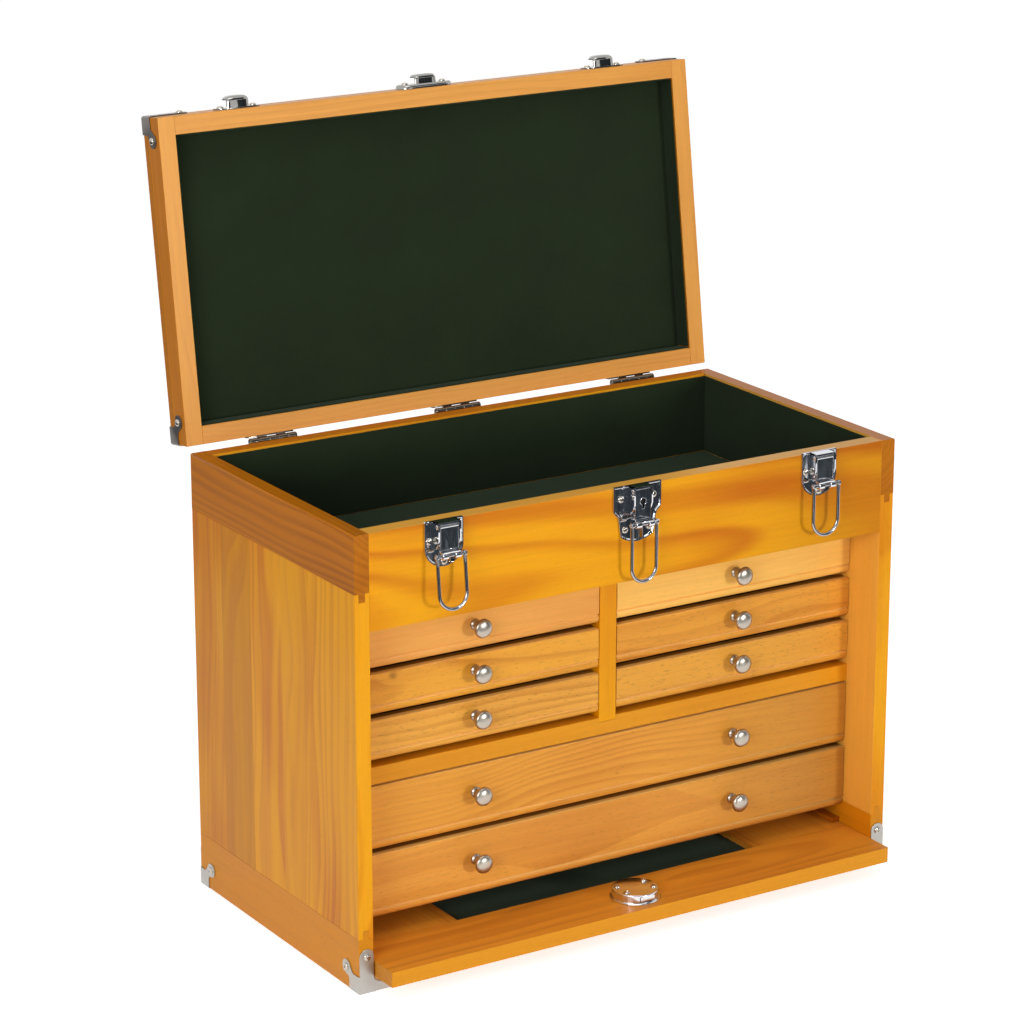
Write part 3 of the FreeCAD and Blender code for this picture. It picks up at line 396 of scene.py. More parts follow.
def wood(name, node, grain, pale, deep, seed, pith=(0.05, 0.0), ring=0.005, figure=0.35,
         dashes=0.12, clouds=0.3, fade=0.0, slant=0.0, calm=0.0, knots=(), strips=None,
         pair=False, lid=False, stiles=None, faced=None, bead=None, drift=0.06):
    """Varnished pine, with its rings about a pith that runs along the grain.

    pale and deep are the tones of spring and summer wood, pith its place across and deep,
    ring the width of a year. figure, dashes and clouds say how strongly rings, pores and
    stains show, and calm how even the figure is. fade darkens one end as painted shade,
    where the light falls off; slant leans the grain, drift bends it. knots are (along,
    across, deep, radius). strips are glued staves, stiles a frame's inner edges, faced a
    tint of painted light and shade on the faces that look along an axis or inward, and bead
    a painted highlight on the beads' upward faces with painted shade on the top edges.
    """
    look = bpy.context.scene.toolbox_wood
    finish = Finish(name, {"Coat Weight": look.varnish, "Coat Roughness": 0.14,
                           "Specular IOR Level": 0.16})
    point, facing, (along, across, depth) = board_axes(finish, node, grain, pair, lid)
    end = abs(facing.part(grain))
    if stiles:
        along, across, end = turn_stiles(point, facing, along, across, end, stiles)
    end_face = end.between(*ALONG_FACE)
    shift = seed * SEED_STEP
    if pair:
        shift = (point.part("X") > 0.0) * RIGHT_STEP + shift
    if strips:
        low_edge, high_edge, stops = strips
        stave = finish.node("ShaderNodeValToRGB", {"stops": stops},
                            {0: (across - low_edge) / (high_edge - low_edge)})
        stave = stave + (point.part("X") > 0.0) * 0.11
        shift = shift + stave * 7.3
        across = across + (stave - 0.4) * 0.12
    summer, wander, stray = year_rings(finish, along, across, depth, shift, pith, ring, drift,
                                       slant, calm, knots)
    # The factors are waves per metre: few along the grain, many across it
    fibre = finish.noise_at(along * 16, across * 560 + shift, depth * 560, 3.0, 0.65)
    streak = finish.noise_at(along * 4, across * 130 + shift, depth * 130, 3.0, 0.6)
    dash = finish.noise_at(along * 170, across * 1400 + shift, depth * 1400, 1.0)
    cloud = finish.noise_at(along * 3.0 + shift, across * 13, depth * 13, 2.0, 0.55)
    strength = wander.between(0.35, 0.68) * (0.9 - calm * 0.6) + 0.25 + calm * 0.4
    blend = (summer * (strength * (1 - end_face * 0.35)) * figure
             + cloud.between(0.46, 0.7) * clouds + (streak - 0.5) * (0.5 - calm * 0.3))
    if strips:
        blend = blend + (0.45 - stave) * 0.6
    body = finish.mix(blend, pale, deep)
    # Painted light and shade, by which way a face looks
    if faced:
        body = paint_face_light(finish, point, facing, streak, body, faced)
    # The last term darkens the board towards one end: painted shade where the light falls off
    shade = (0.9 + fibre * 0.2 - dash.between(0.62, 0.76) * dashes - end_face * 0.12
             - along.between(0.02, 0.27) * fade)
    if strips:
        shade = shade * (0.9 + stave * 0.2)
    # Painted light on the drawer fronts: the upward faces in the lower half, the beads' tops, take
    # a painted highlight, and the top edges in the upper half are darkened as painted shade
    if bead:
        upward_painted = facing.part("Z").between(*ALONG_FACE)
        above = across > 0.0
        body = finish.mix(upward_painted * (1 - above), body, bead)
        shade = shade * (1 - upward_painted * above * 0.55)
    for knot in knots:
        reach = knot_reach(knot, KNOT_STAIN, along, across, depth) + stray * 0.8 - 0.4
        shade = shade * (1 - (1 - reach.between(0.35, 1.15)) * 0.42)
    finish.feed("Base Color", finish.mix(1.0, body, shade, "MULTIPLY"))
    finish.feed("Roughness", look.dullness + (fibre - 0.5) * 0.16 - summer * 0.05)
    finish.emboss(fibre * 0.7 + summer * 0.4, FIBRE_DEPTH, 0.5)


def felt(name):
    """Green wool: tufts, a nap that lies here and there another way, and brushed clouds."""
    look = bpy.context.scene.toolbox_felt
    finish = Finish(name, {"Specular IOR Level": 0.1, "Sheen Weight": 0.12,
                           "Sheen Roughness": 0.6, "Sheen Tint": (0.6, 0.8, 0.6, 1)})
    tuft = finish.haze((1500, 1500, 1500), 3.0, 0.7)
    nap = finish.haze((210, 190, 240), 3.0, 0.6)
    brush = finish.haze((14, 22, 17), 3.0, 0.55)
    blend = tuft * 0.4 + nap * 0.35 + brush * 0.75 - 0.25
    finish.feed("Base Color", finish.mix(blend, look.shade, look.tint))
    finish.feed("Roughness", 0.9 + (nap - 0.5) * 0.15)
    finish.emboss(tuft * 0.6 + nap * 0.4, TUFT_DEPTH, 0.7)


def metal(name, tint, dullness, cloudiness=0.05, scratch=0.0, brushed=0.0, buckle=0.0):
    """Plated metal, hazed and scratched; where asked, of brushed grain or buckled a little."""
    finish = Finish(name, {"Metallic": 1.0})
    haze = finish.haze((260, 240, 280), 3.0, 0.6)
    line = finish.haze((2600, 240, 190), 2.0, 0.6)
    cross = finish.haze((210, 300, 2400), 2.0, 0.6)
    scratches = line.between(0.66, 0.74) + cross.between(0.67, 0.75)
    dark = tuple(level * 0.86 for level in tint)
    finish.feed("Base Color", finish.mix(haze * 0.5 + scratches * 0.3, tint, dark))
    finish.feed("Roughness", dullness + (haze - 0.5) * cloudiness + scratches * scratch)
    height = line * brushed + scratches * 0.2
    if buckle:
        height = height + finish.haze((190, 190, 45), 0.0) * buckle
    finish.emboss(height, SCRATCH_DEPTH, 0.35)


def dark_well(name):
    """Painted shade: a near-black finish for the unlit inside of the lock, seen through its
    keyhole.
    """
    finish = Finish(name, {"Specular IOR Level": 0.2})
    well_shade_mottle = finish.haze((900, 900, 900))
    finish.feed("Base Color", finish.mix(well_shade_mottle, (0.004, 0.004, 0.004), (0.02, 0.018, 0.016)))
    finish.feed("Roughness", 0.6 + well_shade_mottle * 0.3)


# Mesh work. All lengths that these take are millimetres of the frame.

WELD_REACH = 0.01 * MM
SHARP_ANGLE = math.radians(38)


def put(bm, point):
    return bm.verts.new(Vector(point) * MM)


def bridge(bm, low, high, closed=True):
    """Quads between two rows of vertices."""
    count = len(low)
    for number in range(count if closed else count - 1):
        after = (number + 1) % count
        bm.faces.new((low[number], low[after], high[after], high[number]))


def loft(bm, rows, closed=True, capped=False):
    """Quads through a row of rows. Where asked, the first and the last are filled."""
    for low, high in zip(rows, rows[1:]):
        bridge(bm, low, high, closed)
    if capped:
        bm.faces.new(rows[0])
        bm.faces.new(rows[-1])


def pressed(bm, loops, place, low, high):
    """A plate cut to the first loop and pierced by the others. Returns its outer faces."""
    rings = []
    for depth in (low, high):
        level = [[put(bm, place(a, b, depth)) for a, b in loop] for loop in loops]
        if len(loops) == 1:
            faces = [bm.faces.new(level[0])]
        else:
            edges = []
            for ring in level:
                edges += [bm.edges.new((ring[number - 1], ring[number]))
                          for number in range(len(ring))]
            filled = bmesh.ops.triangle_fill(bm, edges=edges, use_beauty=True)["geom"]
            faces = [item for item in filled if isinstance(item, bmesh.types.BMFace)]
        rings.append(level)
    for ring_low, ring_high in zip(*rings):
        bridge(bm, ring_low, ring_high)
    return faces


def inset(bm, faces, border, sink, slope=0.15):
    """Sink a field into faces, inside a border."""
    bmesh.ops.recalc_face_normals(bm, faces=bm.faces)
    bmesh.ops.inset_region(bm, faces=faces, thickness=border * MM, use_even_offset=True)
    bmesh.ops.inset_region(bm, faces=faces, thickness=slope * MM, depth=-sink * MM,
                           use_even_offset=True)


def turned(bm, profile, centre, outward, sides=32, hollow=False):
    """A round body. profile is (radius, height) pairs along outward from centre."""
    aim = Vector(outward).to_track_quat("Z", "Y").to_matrix()
    rings = []
    for radius, height in profile:
        count = sides if radius else 1
        ring = []
        for number in range(count):
            angle = 2 * math.pi * number / sides
            local = Vector((radius * math.cos(angle), radius * math.sin(angle), height))
            ring.append(put(bm, Vector(centre) + aim @ local))
        rings.append(ring)
    pairs = list(zip(rings, rings[1:]))
    if hollow:
        pairs.append((rings[-1], rings[0]))
    else:
        for ring in (rings[0], rings[-1]):
            if len(ring) > 1:
                bm.faces.new(ring)
    for low, high in pairs:
        if len(low) == 1 or len(high) == 1:
            tip = (low if len(low) == 1 else high)[0]
            rim = high if len(low) == 1 else low
            for number in range(sides):
                bm.faces.new((rim[number - 1], rim[number], tip))
        else:
            bridge(bm, low, high)


def tube(bm, path, radii, sides=14):
    """A wire along a path. radii is one radius, or one for each point."""
    points = [Vector(point) for point in path]
    if not isinstance(radii, (list, tuple)):
        radii = [radii] * len(points)
    side = None
    rows = []
    for number, point in enumerate(points):
        before = points[max(0, number - 1)]
        after = points[min(len(points) - 1, number + 1)]
        along = (after - before).normalized()
        if side is None:
            side = along.orthogonal().normalized()
        side = (side - along * side.dot(along)).normalized()
        up = along.cross(side)
        row = []
        for step in range(sides):
            angle = 2 * math.pi * step / sides
            spread = (side * math.cos(angle) + up * math.sin(angle)) * radii[number]
            row.append(put(bm, point + spread))
        rows.append(row)
    loft(bm, rows, capped=True)


def brick(bm, low, high):
    """A block between two corners."""
    loop = [(low[0], low[1]), (high[0], low[1]), (high[0], high[1]), (low[0], high[1])]
    pressed(bm, [loop], lambda a, b, c: (a, b, c), low[2], high[2])


def arc(centre, radius, first, last, steps):
    """Points on an arc, from one angle in degrees to another."""
    points = []
    for number in range(steps + 1):
        angle = math.radians(first + (last - first) * number / steps)
        points.append((centre[0] + radius * math.cos(angle),
                       centre[1] + radius * math.sin(angle)))
    return points


def opened_lid():
    """The turn that opens what is drawn on the closed lid."""
    hinge = Vector((0, HINGE_Y, HINGE_Z)) * MM
    return (Matrix.Translation(hinge) @ Matrix.Rotation(-LID_ANGLE, 4, "X")
            @ Matrix.Translation(-hinge))


def add_object(bm, name, finish):
    """Turn a bmesh into an object of the scene."""
    mesh = bpy.data.meshes.new(name)
    bm.to_mesh(mesh)
    bm.free()
    mesh.materials.append(finishes[finish])
    made = bpy.data.objects.new(name, mesh)
    bpy.context.scene.collection.objects.link(made)
    return made


def piece(bm, name, finish, body, replaced=(), bevel=0.0, *, lid=False):
    """Turn a bmesh into a piece that rides on a body."""
    if lid:
        bm.transform(opened_lid())
    bmesh.ops.recalc_face_normals(bm, faces=bm.faces)
    made = add_object(bm, name, finish)
    made.data.shade_smooth()
    if bevel:
        ease_edges(made, bevel)
    else:
        made.data.set_sharp_from_angle(angle=SHARP_ANGLE)
    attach(made, body)
    if replaced:
        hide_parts(*replaced)
    return made


def ease_edges(made, width, angle=35):
    """Round the sharp edges of a piece by width millimetres."""
    ease = made.modifiers.new("Eased edges", "BEVEL")
    ease.width = width * MM
    ease.segments = 2
    ease.limit_method = "ANGLE"
    ease.angle_limit = math.radians(angle)
    ease.harden_normals = True
    ease.use_clamp_overlap = True


def cad_corners(node):
    """A node's lowest and highest corners, in millimetres."""
    low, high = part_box(node)
    return low / MM, high / MM


# Boards

def dress(node, finish):
    """Give a part of the frame its finish."""
    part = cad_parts[node]
    part.data.materials.clear()
    part.data.materials.append(finishes[finish])
    return part


def dress_board(node, finish):
    """Give a board of the frame its wood, and ease its edges."""
    board = dress(node, finish)
    weld = board.modifiers.new("Welded corners", "WELD")
    weld.merge_threshold = WELD_REACH
    ease_edges(board, bpy.context.scene.toolbox_wood.arris / MM)


def make_board(node, grain, pale, deep, seed, **figure):
    """Mix a board's own wood and dress the board in it."""
    wood(node + "_wood", node, grain, pale, deep, seed, **figure)
    dress_board(node, node + "_wood")


# Staves of a side wall: its edges, and for each stave where it starts and how light it is
SIDE_STRIPS = (-0.133, 0.133, ((0.0, 0.62), (0.27, 0.5), (0.44, 0.72), (0.63, 0.0),
                               (0.815, 0.45)))
# For each drawer front: its pale and deep tones, pith, ring width, figure, dashes, painted end
# shade, knots
DRAWER_WOODS = {
    1: ((240, 172, 84), (214, 136, 56), (0.06, 0.05), 0.009, 0.15, 0.1, 0.0,
        ((-0.042, -0.01, 0.004, 0.0011),)),
    2: ((238, 168, 58), (196, 116, 32), (0.03, -0.012), 0.0065, 0.55, 0.3, 0.0,
        ((-0.075, -0.004, 0.013, 0.004),)),
    3: ((240, 174, 72), (200, 126, 40), (0.09, 0.06), 0.005, 0.45, 0.4, 0.0, ()),
    4: ((252, 196, 98), (236, 164, 66), (0.05, 0.08), 0.008, 0.15, 0.1, 0.04, ()),
    5: ((232, 160, 58), (196, 116, 32), (0.1, -0.02), 0.0055, 0.5, 0.3, 0.0, ()),
    6: ((232, 164, 62), (196, 122, 36), (0.028, 0.03), 0.007, 0.5, 0.35, 0.0, ()),
    7: ((232, 160, 60), (200, 118, 36), (0.07, -0.06), 0.004, 0.45, 0.15, 0.26,
        ((0.096, -0.01, 0.017, 0.0016), (-0.004, -0.01, 0.002, 0.0018))),
    8: ((236, 164, 68), (200, 120, 40), (0.034, 0.004), 0.0075, 0.45, 0.2, 0.38, ()),
}


def dress_case():
    """Woods of the case: rails, planks, boards, shelf, divider and runners."""
    look = bpy.context.scene.toolbox_wood
    rail = (look.rail_pale, look.rail_deep)
    plank = (look.plank_pale, look.plank_deep)
    inner = (look.inner_pale, look.inner_deep)
    # Painted light: a paler tint on the inward faces of the sides and on the top and bottom faces
    # of the front board
    painted_light_tint = look.painted_light_pale
    make_board("side_top_rails", "Y", *rail, 3, pith=(-0.05, 0.06), ring=0.0055, figure=0.5,
               pair=True, drift=0.03, calm=0.4, faced=("inward", painted_light_tint))
    make_board("side_bottom_rails", "Y", look.foot_pale, look.foot_deep, 8,
               pith=(-0.035, -0.01), ring=0.009, figure=0.3, clouds=0.7, pair=True)
    make_board("side_planks", "Z", *plank, 5, pith=(0.02, -0.03), ring=0.012, figure=0.5,
               clouds=0.55, slant=0.03, calm=0.3, drift=0.08, strips=SIDE_STRIPS, pair=True,
               faced=("inward", painted_light_tint))
    make_board("front_board", "X", look.front_pale, look.front_deep, 2, pith=(0.075, -0.03),
               ring=0.0125, figure=0.85, dashes=0.1, clouds=0.4, fade=0.16, slant=-0.05,
               calm=1.0, drift=0.028, faced=("Z", painted_light_tint))
    # Painted shade: a darker tint on the back board's top and bottom faces
    make_board("back_board", "X", *plank, 11, pith=(-0.06, 0.05), ring=0.01,
               faced=("Z", look.rail_pale))
    make_board("base_board", "X", *inner, 12)
    dress_board("tray_floor", "base_board_wood")
    make_board("cross_shelf", "X", look.shelf_pale, look.shelf_deep, 4, pith=(0.09, 0.02),
               ring=0.006, figure=0.25)
    make_board("centre_divider", "Z", look.front_pale, look.front_deep, 9,
               pith=(0.04, 0.02), figure=0.1)
    make_board("drawer_runners", "Y", look.foot_deep, look.rail_deep, 6)


def dress_drawers():
    look = bpy.context.scene.toolbox_wood
    wood("box_wood", "drawer_1_box", "Y", look.inner_pale, look.inner_deep, 7, figure=0.3)
    for number, (pale, deep, pith, ring, figure, dashes, fade, knots) in DRAWER_WOODS.items():
        make_board("drawer_%d_front" % number, "X", srgb(*pale), srgb(*deep), number * 3 + 1,
                   pith=pith, ring=ring, figure=figure, dashes=dashes, fade=fade, knots=knots,
                   bead=look.bead_pale)
        dress_board("drawer_%d_box" % number, "box_wood")


def dress_lid():
    look = bpy.context.scene.toolbox_wood
    lid = (look.lid_pale, look.lid_deep)
    # Painted shade: a darker tint on the side faces of the lid's stiles and top board
    make_board("lid_stiles", "Y", *lid, 13, pith=(0.04, -0.06), figure=0.22, pair=True,
               dashes=0.06, lid=True, faced=("X", look.rail_pale))
    make_board("lid_rails", "X", *lid, 14, pith=(0.05, -0.05), figure=0.22, lid=True,
               dashes=0.06)
    make_board("lid_top_board", "X", look.plank_pale, look.plank_deep, 15, lid=True,
               pith=(0.02, -0.06), ring=0.008, figure=0.4, faced=("X", look.rail_pale))


def dress_panel():
    look = bpy.context.scene.toolbox_wood
    field_low, field_high = cad_corners("panel_board")
    # Painted light: a yellower tint on the front and back faces of the panel's frame
    make_board("panel_frame", "X", look.panel_pale, look.panel_deep, 16, pith=(-0.1, -0.045),
               ring=0.006, figure=0.32, faced=("Y", look.shelf_pale), drift=0.03,
               stiles=(field_high.x * MM, field_low.y * MM, field_high.y * MM))
    make_board("panel_board", "X", look.inner_pale, look.inner_deep, 17)


# Felts

FELT_STEP = 9.0
FELT_EDGE = 0.62
RIPPLE_WAVES = 0.021
# Wall felts start this far from the floor's wood, and the side ones from the corners too
LAP = 1.5
# Where the lid's and the drawers' felts start, from the outside of their wood
LID_WALL = 15.0
LID_BOARD = 9.0
LID_MARGIN = 2.0
BOX_SIDE = 8.2
BOX_FRONT = 0.2
BOX_FLOOR = 4.5


def felt_sheet(name, corner, run, rise, body, replaced=(), lid=False):
    """A glued sheet on corner, spread along run and rise, with its pile towards run x rise."""
    look = bpy.context.scene.toolbox_felt
    corner, run, rise = Vector(corner), Vector(run), Vector(rise)
    outward = run.cross(rise).normalized()
    columns = max(4, round(run.length / FELT_STEP))
    rows = max(4, round(rise.length / FELT_STEP))
    thick = look.thickness / MM
    bm = bmesh.new()
    rims = []
    for level in (0, 1):
        grid = []
        for row in range(rows + 1):
            line = []
            for column in range(columns + 1):
                edge = row in (0, rows) or column in (0, columns)
                spot = corner + run * (column / columns) + rise * (row / rows)
                swell = noise.noise(spot * RIPPLE_WAVES) * look.ripple / MM
                height = level * (thick * (FELT_EDGE if edge else 1) + (0 if edge else swell))
                line.append(put(bm, spot + outward * height))
            grid.append(line)
        loft(bm, grid, closed=False)
        rims.append(grid[0] + [line[-1] for line in grid[1:-1]] + grid[-1][::-1]
                    + [line[0] for line in grid[-2:0:-1]])
    bridge(bm, *rims)
    sheet = piece(bm, name, "felt", body, replaced, lid=lid)


def line_walls(names, low, high, foot, top, body, lid=False):
    """Line four walls: front and back from side to side, left and right between them."""
    wide, deep = high[0] - low[0], high[1] - low[1]
    for wall, corner, run in (("front", (high[0], low[1]), (-wide, 0, 0)),
                              ("back", (low[0], high[1]), (wide, 0, 0)),
                              ("left", (low[0], low[1] + LAP), (0, deep - 2 * LAP, 0)),
                              ("right", (high[0], high[1] - LAP), (0, 2 * LAP - deep, 0))):
        felt_sheet(names % wall, (*corner, foot), run, (0, 0, top - foot), body,
                   lid=lid)


def line_tray():
    low, high = cad_corners("tray_felt")
    felt_sheet("tray_floor_felt", low, (high.x - low.x, 0, 0), (0, high.y - low.y, 0), "case",
               ["tray_felt"])
    line_walls("tray_%s_felt", low, high, low.z + LAP, high.z, "case")


def line_lid():
    x, y = HALF_WIDTH - LID_WALL, BACK_Y - LID_WALL
    top = LID_TOP_Z - LID_BOARD
    felt_sheet("lid_felt_field", (x, -y, top), (-2 * x, 0, 0), (0, 2 * y, 0), "lid",
               ["lid_felt"], lid=True)
    line_walls("lid_felt_%s", (-x, -y), (x, y), LID_LOW_Z + LID_MARGIN, top - LAP, "lid",
               lid=True)


def line_panel_and_drawers():
    low, high = cad_corners("panel_felt")
    felt_sheet("panel_felt_sheet", low, (high.x - low.x, 0, 0), (0, high.y - low.y, 0),
               "front_panel", ["panel_felt"])
    for number in DRAWER_WOODS:
        low, high = cad_corners("drawer_%d_box" % number)
        felt_sheet("drawer_%d_felt" % number,
                   (low.x + BOX_SIDE, low.y + BOX_FRONT, low.z + BOX_FLOOR),
                   (high.x - low.x - 2 * BOX_SIDE, 0, 0),
                   (0, high.y - low.y - BOX_FRONT - BOX_SIDE, 0),
                   "drawer_%d" % number)


# Knobs and screws

# Radius and height of a knob's foot and stem
KNOB_STEM = ((4.6, 0), (4.6, 0.8), (4.2, 1.4), (3.2, 2.2), (2.95, 4.2), (2.95, 7.4), (3.3, 8.8),
             (4.3, 10.0), (5.8, 10.8))
KNOB_SHOULDER = 13.2
KNOB_DOME = 2.8
# A screw's dome, as shares of its radius and heights, and its cross recess
SCREW_DOME = ((1.0, 0.0), (1.0, 0.45), (0.93, 0.85), (0.8, 1.2), (0.58, 1.5))
SCREW_SIDES = 24
CROSS_ARM = 1.35
CROSS_HALF = 0.34
CROSS_MOUTH = 1.58
CROSS_FLOOR = 0.75
CROSS_TAPER = 0.72


def knob_profile():
    radius = bpy.context.scene.toolbox_metal.knob / MM / 2
    crown = radius - 0.25
    profile = [*KNOB_STEM, (radius - 0.5, 11.2), (radius, 11.8), (radius, 12.6),
               (crown, KNOB_SHOULDER)]
    for angle in (18, 34, 50, 65, 78):
        turn = math.radians(angle)
        profile.append((crown * math.cos(turn), KNOB_SHOULDER + KNOB_DOME * math.sin(turn)))
    return profile + [(0, KNOB_SHOULDER + KNOB_DOME)]


def make_knobs():
    """Knobs on the places of the frame's, one on a small drawer and two on a wide one."""
    for number in DRAWER_WOODS:
        node = "drawer_%d_knob" % number
        low, high = cad_corners(node)
        z = (low.z + high.z) / 2
        reach = (high.z - low.z) / 2
        places = {round(low.x + reach, 1), round(high.x - reach, 1)}
        bm = bmesh.new()
        for x in sorted(places):
            turned(bm, knob_profile(), (x, high.y, z), (0, -1, 0), 40)
        piece(bm, "drawer_%d_pull" % number, "nickel", "drawer_%d" % number, [node])


def screw(bm, centre, outward, turn, scale=1.0):
    """A domed head with a cross recess that stands at turn degrees."""
    radius = bpy.context.scene.toolbox_metal.screw_head / MM / 2 * scale
    aim = Vector(outward).to_track_quat("Z", "Y").to_matrix()
    arm, slot = CROSS_ARM * scale, CROSS_HALF * scale
    cross = []
    for quarter in range(4):
        angle = math.radians(turn) + quarter * math.pi / 2
        c, s = math.cos(angle), math.sin(angle)
        for a, b in ((arm, -slot), (arm, slot), (slot, slot)):
            cross.append((a * c - b * s, a * s + b * c))

    def ring(points, height, taper=1.0):
        return [put(bm, Vector(centre) + aim @ Vector((a * taper, b * taper, height * scale)))
                for a, b in points]

    rows = [ring(arc((0, 0), radius * part, 0, 360 - 360 / SCREW_SIDES, SCREW_SIDES - 1), height)
            for part, height in SCREW_DOME]
    loft(bm, rows)
    mouth = ring(cross, CROSS_MOUTH)
    floor = ring(cross, CROSS_FLOOR, CROSS_TAPER)
    edges = []
    for loop in (rows[-1], mouth):
        for pair in zip(loop, loop[1:] + loop[:1]):
            edges.append(bm.edges.get(pair) or bm.edges.new(pair))
    bmesh.ops.triangle_fill(bm, edges=edges, use_beauty=True)
    bridge(bm, mouth, floor)
    bm.faces.new(floor)
    bm.faces.new(rows[0])


def guard_places():
    """For each corner: its side and depth signs, and what puts a guard's points there."""
    for side in (-1, 1):
        for face, depth in ((FRONT_Y, 1), (BACK_Y, -1)):
            def case_place(p, q, r, side=side, face=face, depth=depth):
                return (side * HALF_WIDTH - side * r, face + depth * q, FOOT_Z + p)

            def lid_place(p, q, r, side=side, face=face, depth=depth):
                return (side * HALF_WIDTH - side * p, face + depth * q, LID_TOP_Z - r)

            yield side, depth, case_place, lid_place


def make_screws():
    """All screw heads. turn steps on, so that no two recesses stand alike."""
    case = bmesh.new()
    lid = bmesh.new()
    turn = 0
    for side, depth, case_place, lid_place in guard_places():
        turn += 29
        for bm, front, flank in (
                (case, case_place(TAB_EYE[0], -1, TAB_EYE[1]), case_place(*PAD_EYE, -1)),
                (lid, lid_place(TAB_EYE[0], -1, TAB_EYE[1]), lid_place(-1, *PAD_EYE[::-1]))):
            screw(bm, front, (0, -depth, 0), turn, 1.05)
            screw(bm, flank, (side, 0, 0), turn + 40, 1.05)
    for latch in LATCHES.values():
        x, catch = latch["x"], latch["catch"]
        for spread in (-15, 0, 15):
            turn += 37
            for bm, leaf, angle in ((case, -13, turn), (lid, 13, turn + 13)):
                screw(bm, (x + spread, BACK_Y + LEAF, HINGE_Z + leaf), (0, 1, 0), angle)
        for offset, drop in latch["screws"]:
            turn += 31
            screw(case, (x + offset, FRONT_Y - 1.3, LATCH_TOP_Z - drop), (0, -1, 0), turn)
        reach, rise = catch["screws"]
        for offset in (-reach, reach):
            turn += 23
            screw(lid, (x + offset, FRONT_Y - catch["thick"], CATCH_LOW_Z + rise), (0, -1, 0),
                  turn)
    piece(case, "case_screw_heads", "screw", "case", ["case_screws"])
    piece(lid, "lid_screw_heads", "screw", "lid", ["lid_screws"], lid=True)


# Corner guards

# Radius of a guard's folds, where they end, and the middles of its two screw pads
FOLD = 1.3
FOLD_END = 14.5
FOLD_TURNS = [math.pi / 8 * step for step in range(5)]
TAB_EYE = (30.5, 6.5)
PAD_EYE = (17, 19)


def guard_leg():
    """The cut of a plate with a diagonal leg that ends in a round pad."""
    near = [(FOLD_END, FOLD), (FOLD_END, 5.5), (14.3, 7.4)]
    return ([(FOLD, FOLD)] + near + [(15.2, 10.2), (18.6, 12.8)] + arc(PAD_EYE, 6.2, -45, 135, 10)
            + [(10.2, 15.2)] + [(b, a) for a, b in reversed(near)])


def guard_tab(foot):
    """The cut of the plate with an upright tab and a foot along the other edge."""
    waist = 12.8
    slope = [(12, waist)]
    for number in range(1, 8):
        part = number / 8
        slope.append((12 - 7 * part, waist + (foot - waist) * part ** 2.2))
    rim = [(5, foot)]
    if foot > FOLD_END:
        rim += [(0.2, foot), (0.2, FOLD_END)]
    return ([(FOLD, FOLD), (FOLD_END, FOLD), (FOLD_END, 0.2)] + arc(TAB_EYE, 6.3, -90, 90, 12)
            + slope + rim + [(FOLD, FOLD_END)])


def guard(place, foot):
    """Three plates, the round folds between them and the ball of the corner, facing outward."""
    bm = bmesh.new()
    for loop, spot in ((guard_tab(foot), lambda a, b: place(a, 0, b)),
                       (guard_leg(), lambda a, b: place(a, b, 0)),
                       (guard_leg(), lambda a, b: place(0, b, a))):
        bm.faces.new([put(bm, spot(a, b)) for a, b in loop])
    for spot in (place, lambda a, v, w: place(w, v, a), lambda a, v, w: place(w, a, v)):
        loft(bm, [[put(bm, spot(a, FOLD * (1 - math.cos(turn)), FOLD * (1 - math.sin(turn))))
                   for turn in FOLD_TURNS] for a in (FOLD, FOLD_END)], closed=False)
    loft(bm, [[put(bm, place(FOLD * (1 - math.sin(rise)),
                             FOLD * (1 - math.cos(rise) * math.cos(turn)),
                             FOLD * (1 - math.cos(rise) * math.sin(turn))))
               for turn in FOLD_TURNS] for rise in FOLD_TURNS], closed=False)
    bmesh.ops.remove_doubles(bm, verts=bm.verts, dist=WELD_REACH)
    bm.normal_update()
    bmesh.ops.recalc_face_normals(bm, faces=bm.faces)
    first = next(iter(bm.faces))
    inside = Vector(place(8, 8, 8)) * MM
    if first.normal.dot(first.calc_center_median() - inside) < 0:
        bmesh.ops.reverse_faces(bm, faces=bm.faces)
    return bm


def make_guards():
    """Guards on the case's lower and the lid's outer corners, with the screw pads outward."""
    thick = bpy.context.scene.toolbox_metal.sheet
    for side, depth, case_place, lid_place in guard_places():
        corner = "%s_%s" % ("front" if depth > 0 else "back", "left" if side < 0 else "right")
        for body, place, foot, finish in (("case", case_place, 29, "steel"),
                                          ("lid", lid_place, FOLD_END, "shaded_lid_steel")):
            bm = guard(place, foot)
            if body == "lid":
                bm.transform(opened_lid())
            made = add_object(bm, "%s_guard_%s" % (body, corner), finish)
            made.data.shade_smooth()
            shell = made.modifiers.new("Sheet", "SOLIDIFY")
            shell.thickness = thick
            shell.offset = 1
            shell.use_even_offset = True
            ease_edges(made, 0.3, 60)
            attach(made, body)
            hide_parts(body + "_corner_guards")


# Hinges

# A leaf's thickness, half its length, and how far up or down it reaches from its pin
LEAF = 1.5
LEAF_HALF = 21.75
LEAF_REACH = 24.0
# Radius, pitch and half the gap of the knuckles
KNUCKLE = 2.9
KNUCKLE_PITCH = 8.7
KNUCKLE_GAP = 0.15
# Radius and height of a hinge pin
PIN_PROFILE = ((0, -0.2), (1.1, 0), (1.5, 0.5), (1.5, 43.0), (1.1, 43.5), (0, 43.7))


def rounded_leaf(x, low, high):
    r = 1.6
    left, right = x - LEAF_HALF + r, x + LEAF_HALF - r
    return [point for cx, cz, first in ((right, high - r, 0), (left, high - r, 90),
                                        (left, low + r, 180), (right, low + r, 270))
            for point in arc((cx, cz), r, first, first + 90, 5)]


def knuckle_span(x, number):
    """Where one of a hinge's five knuckles starts and ends."""
    start = x - LEAF_HALF + KNUCKLE_PITCH * number + KNUCKLE_GAP
    return start, start + KNUCKLE_PITCH - 2 * KNUCKLE_GAP


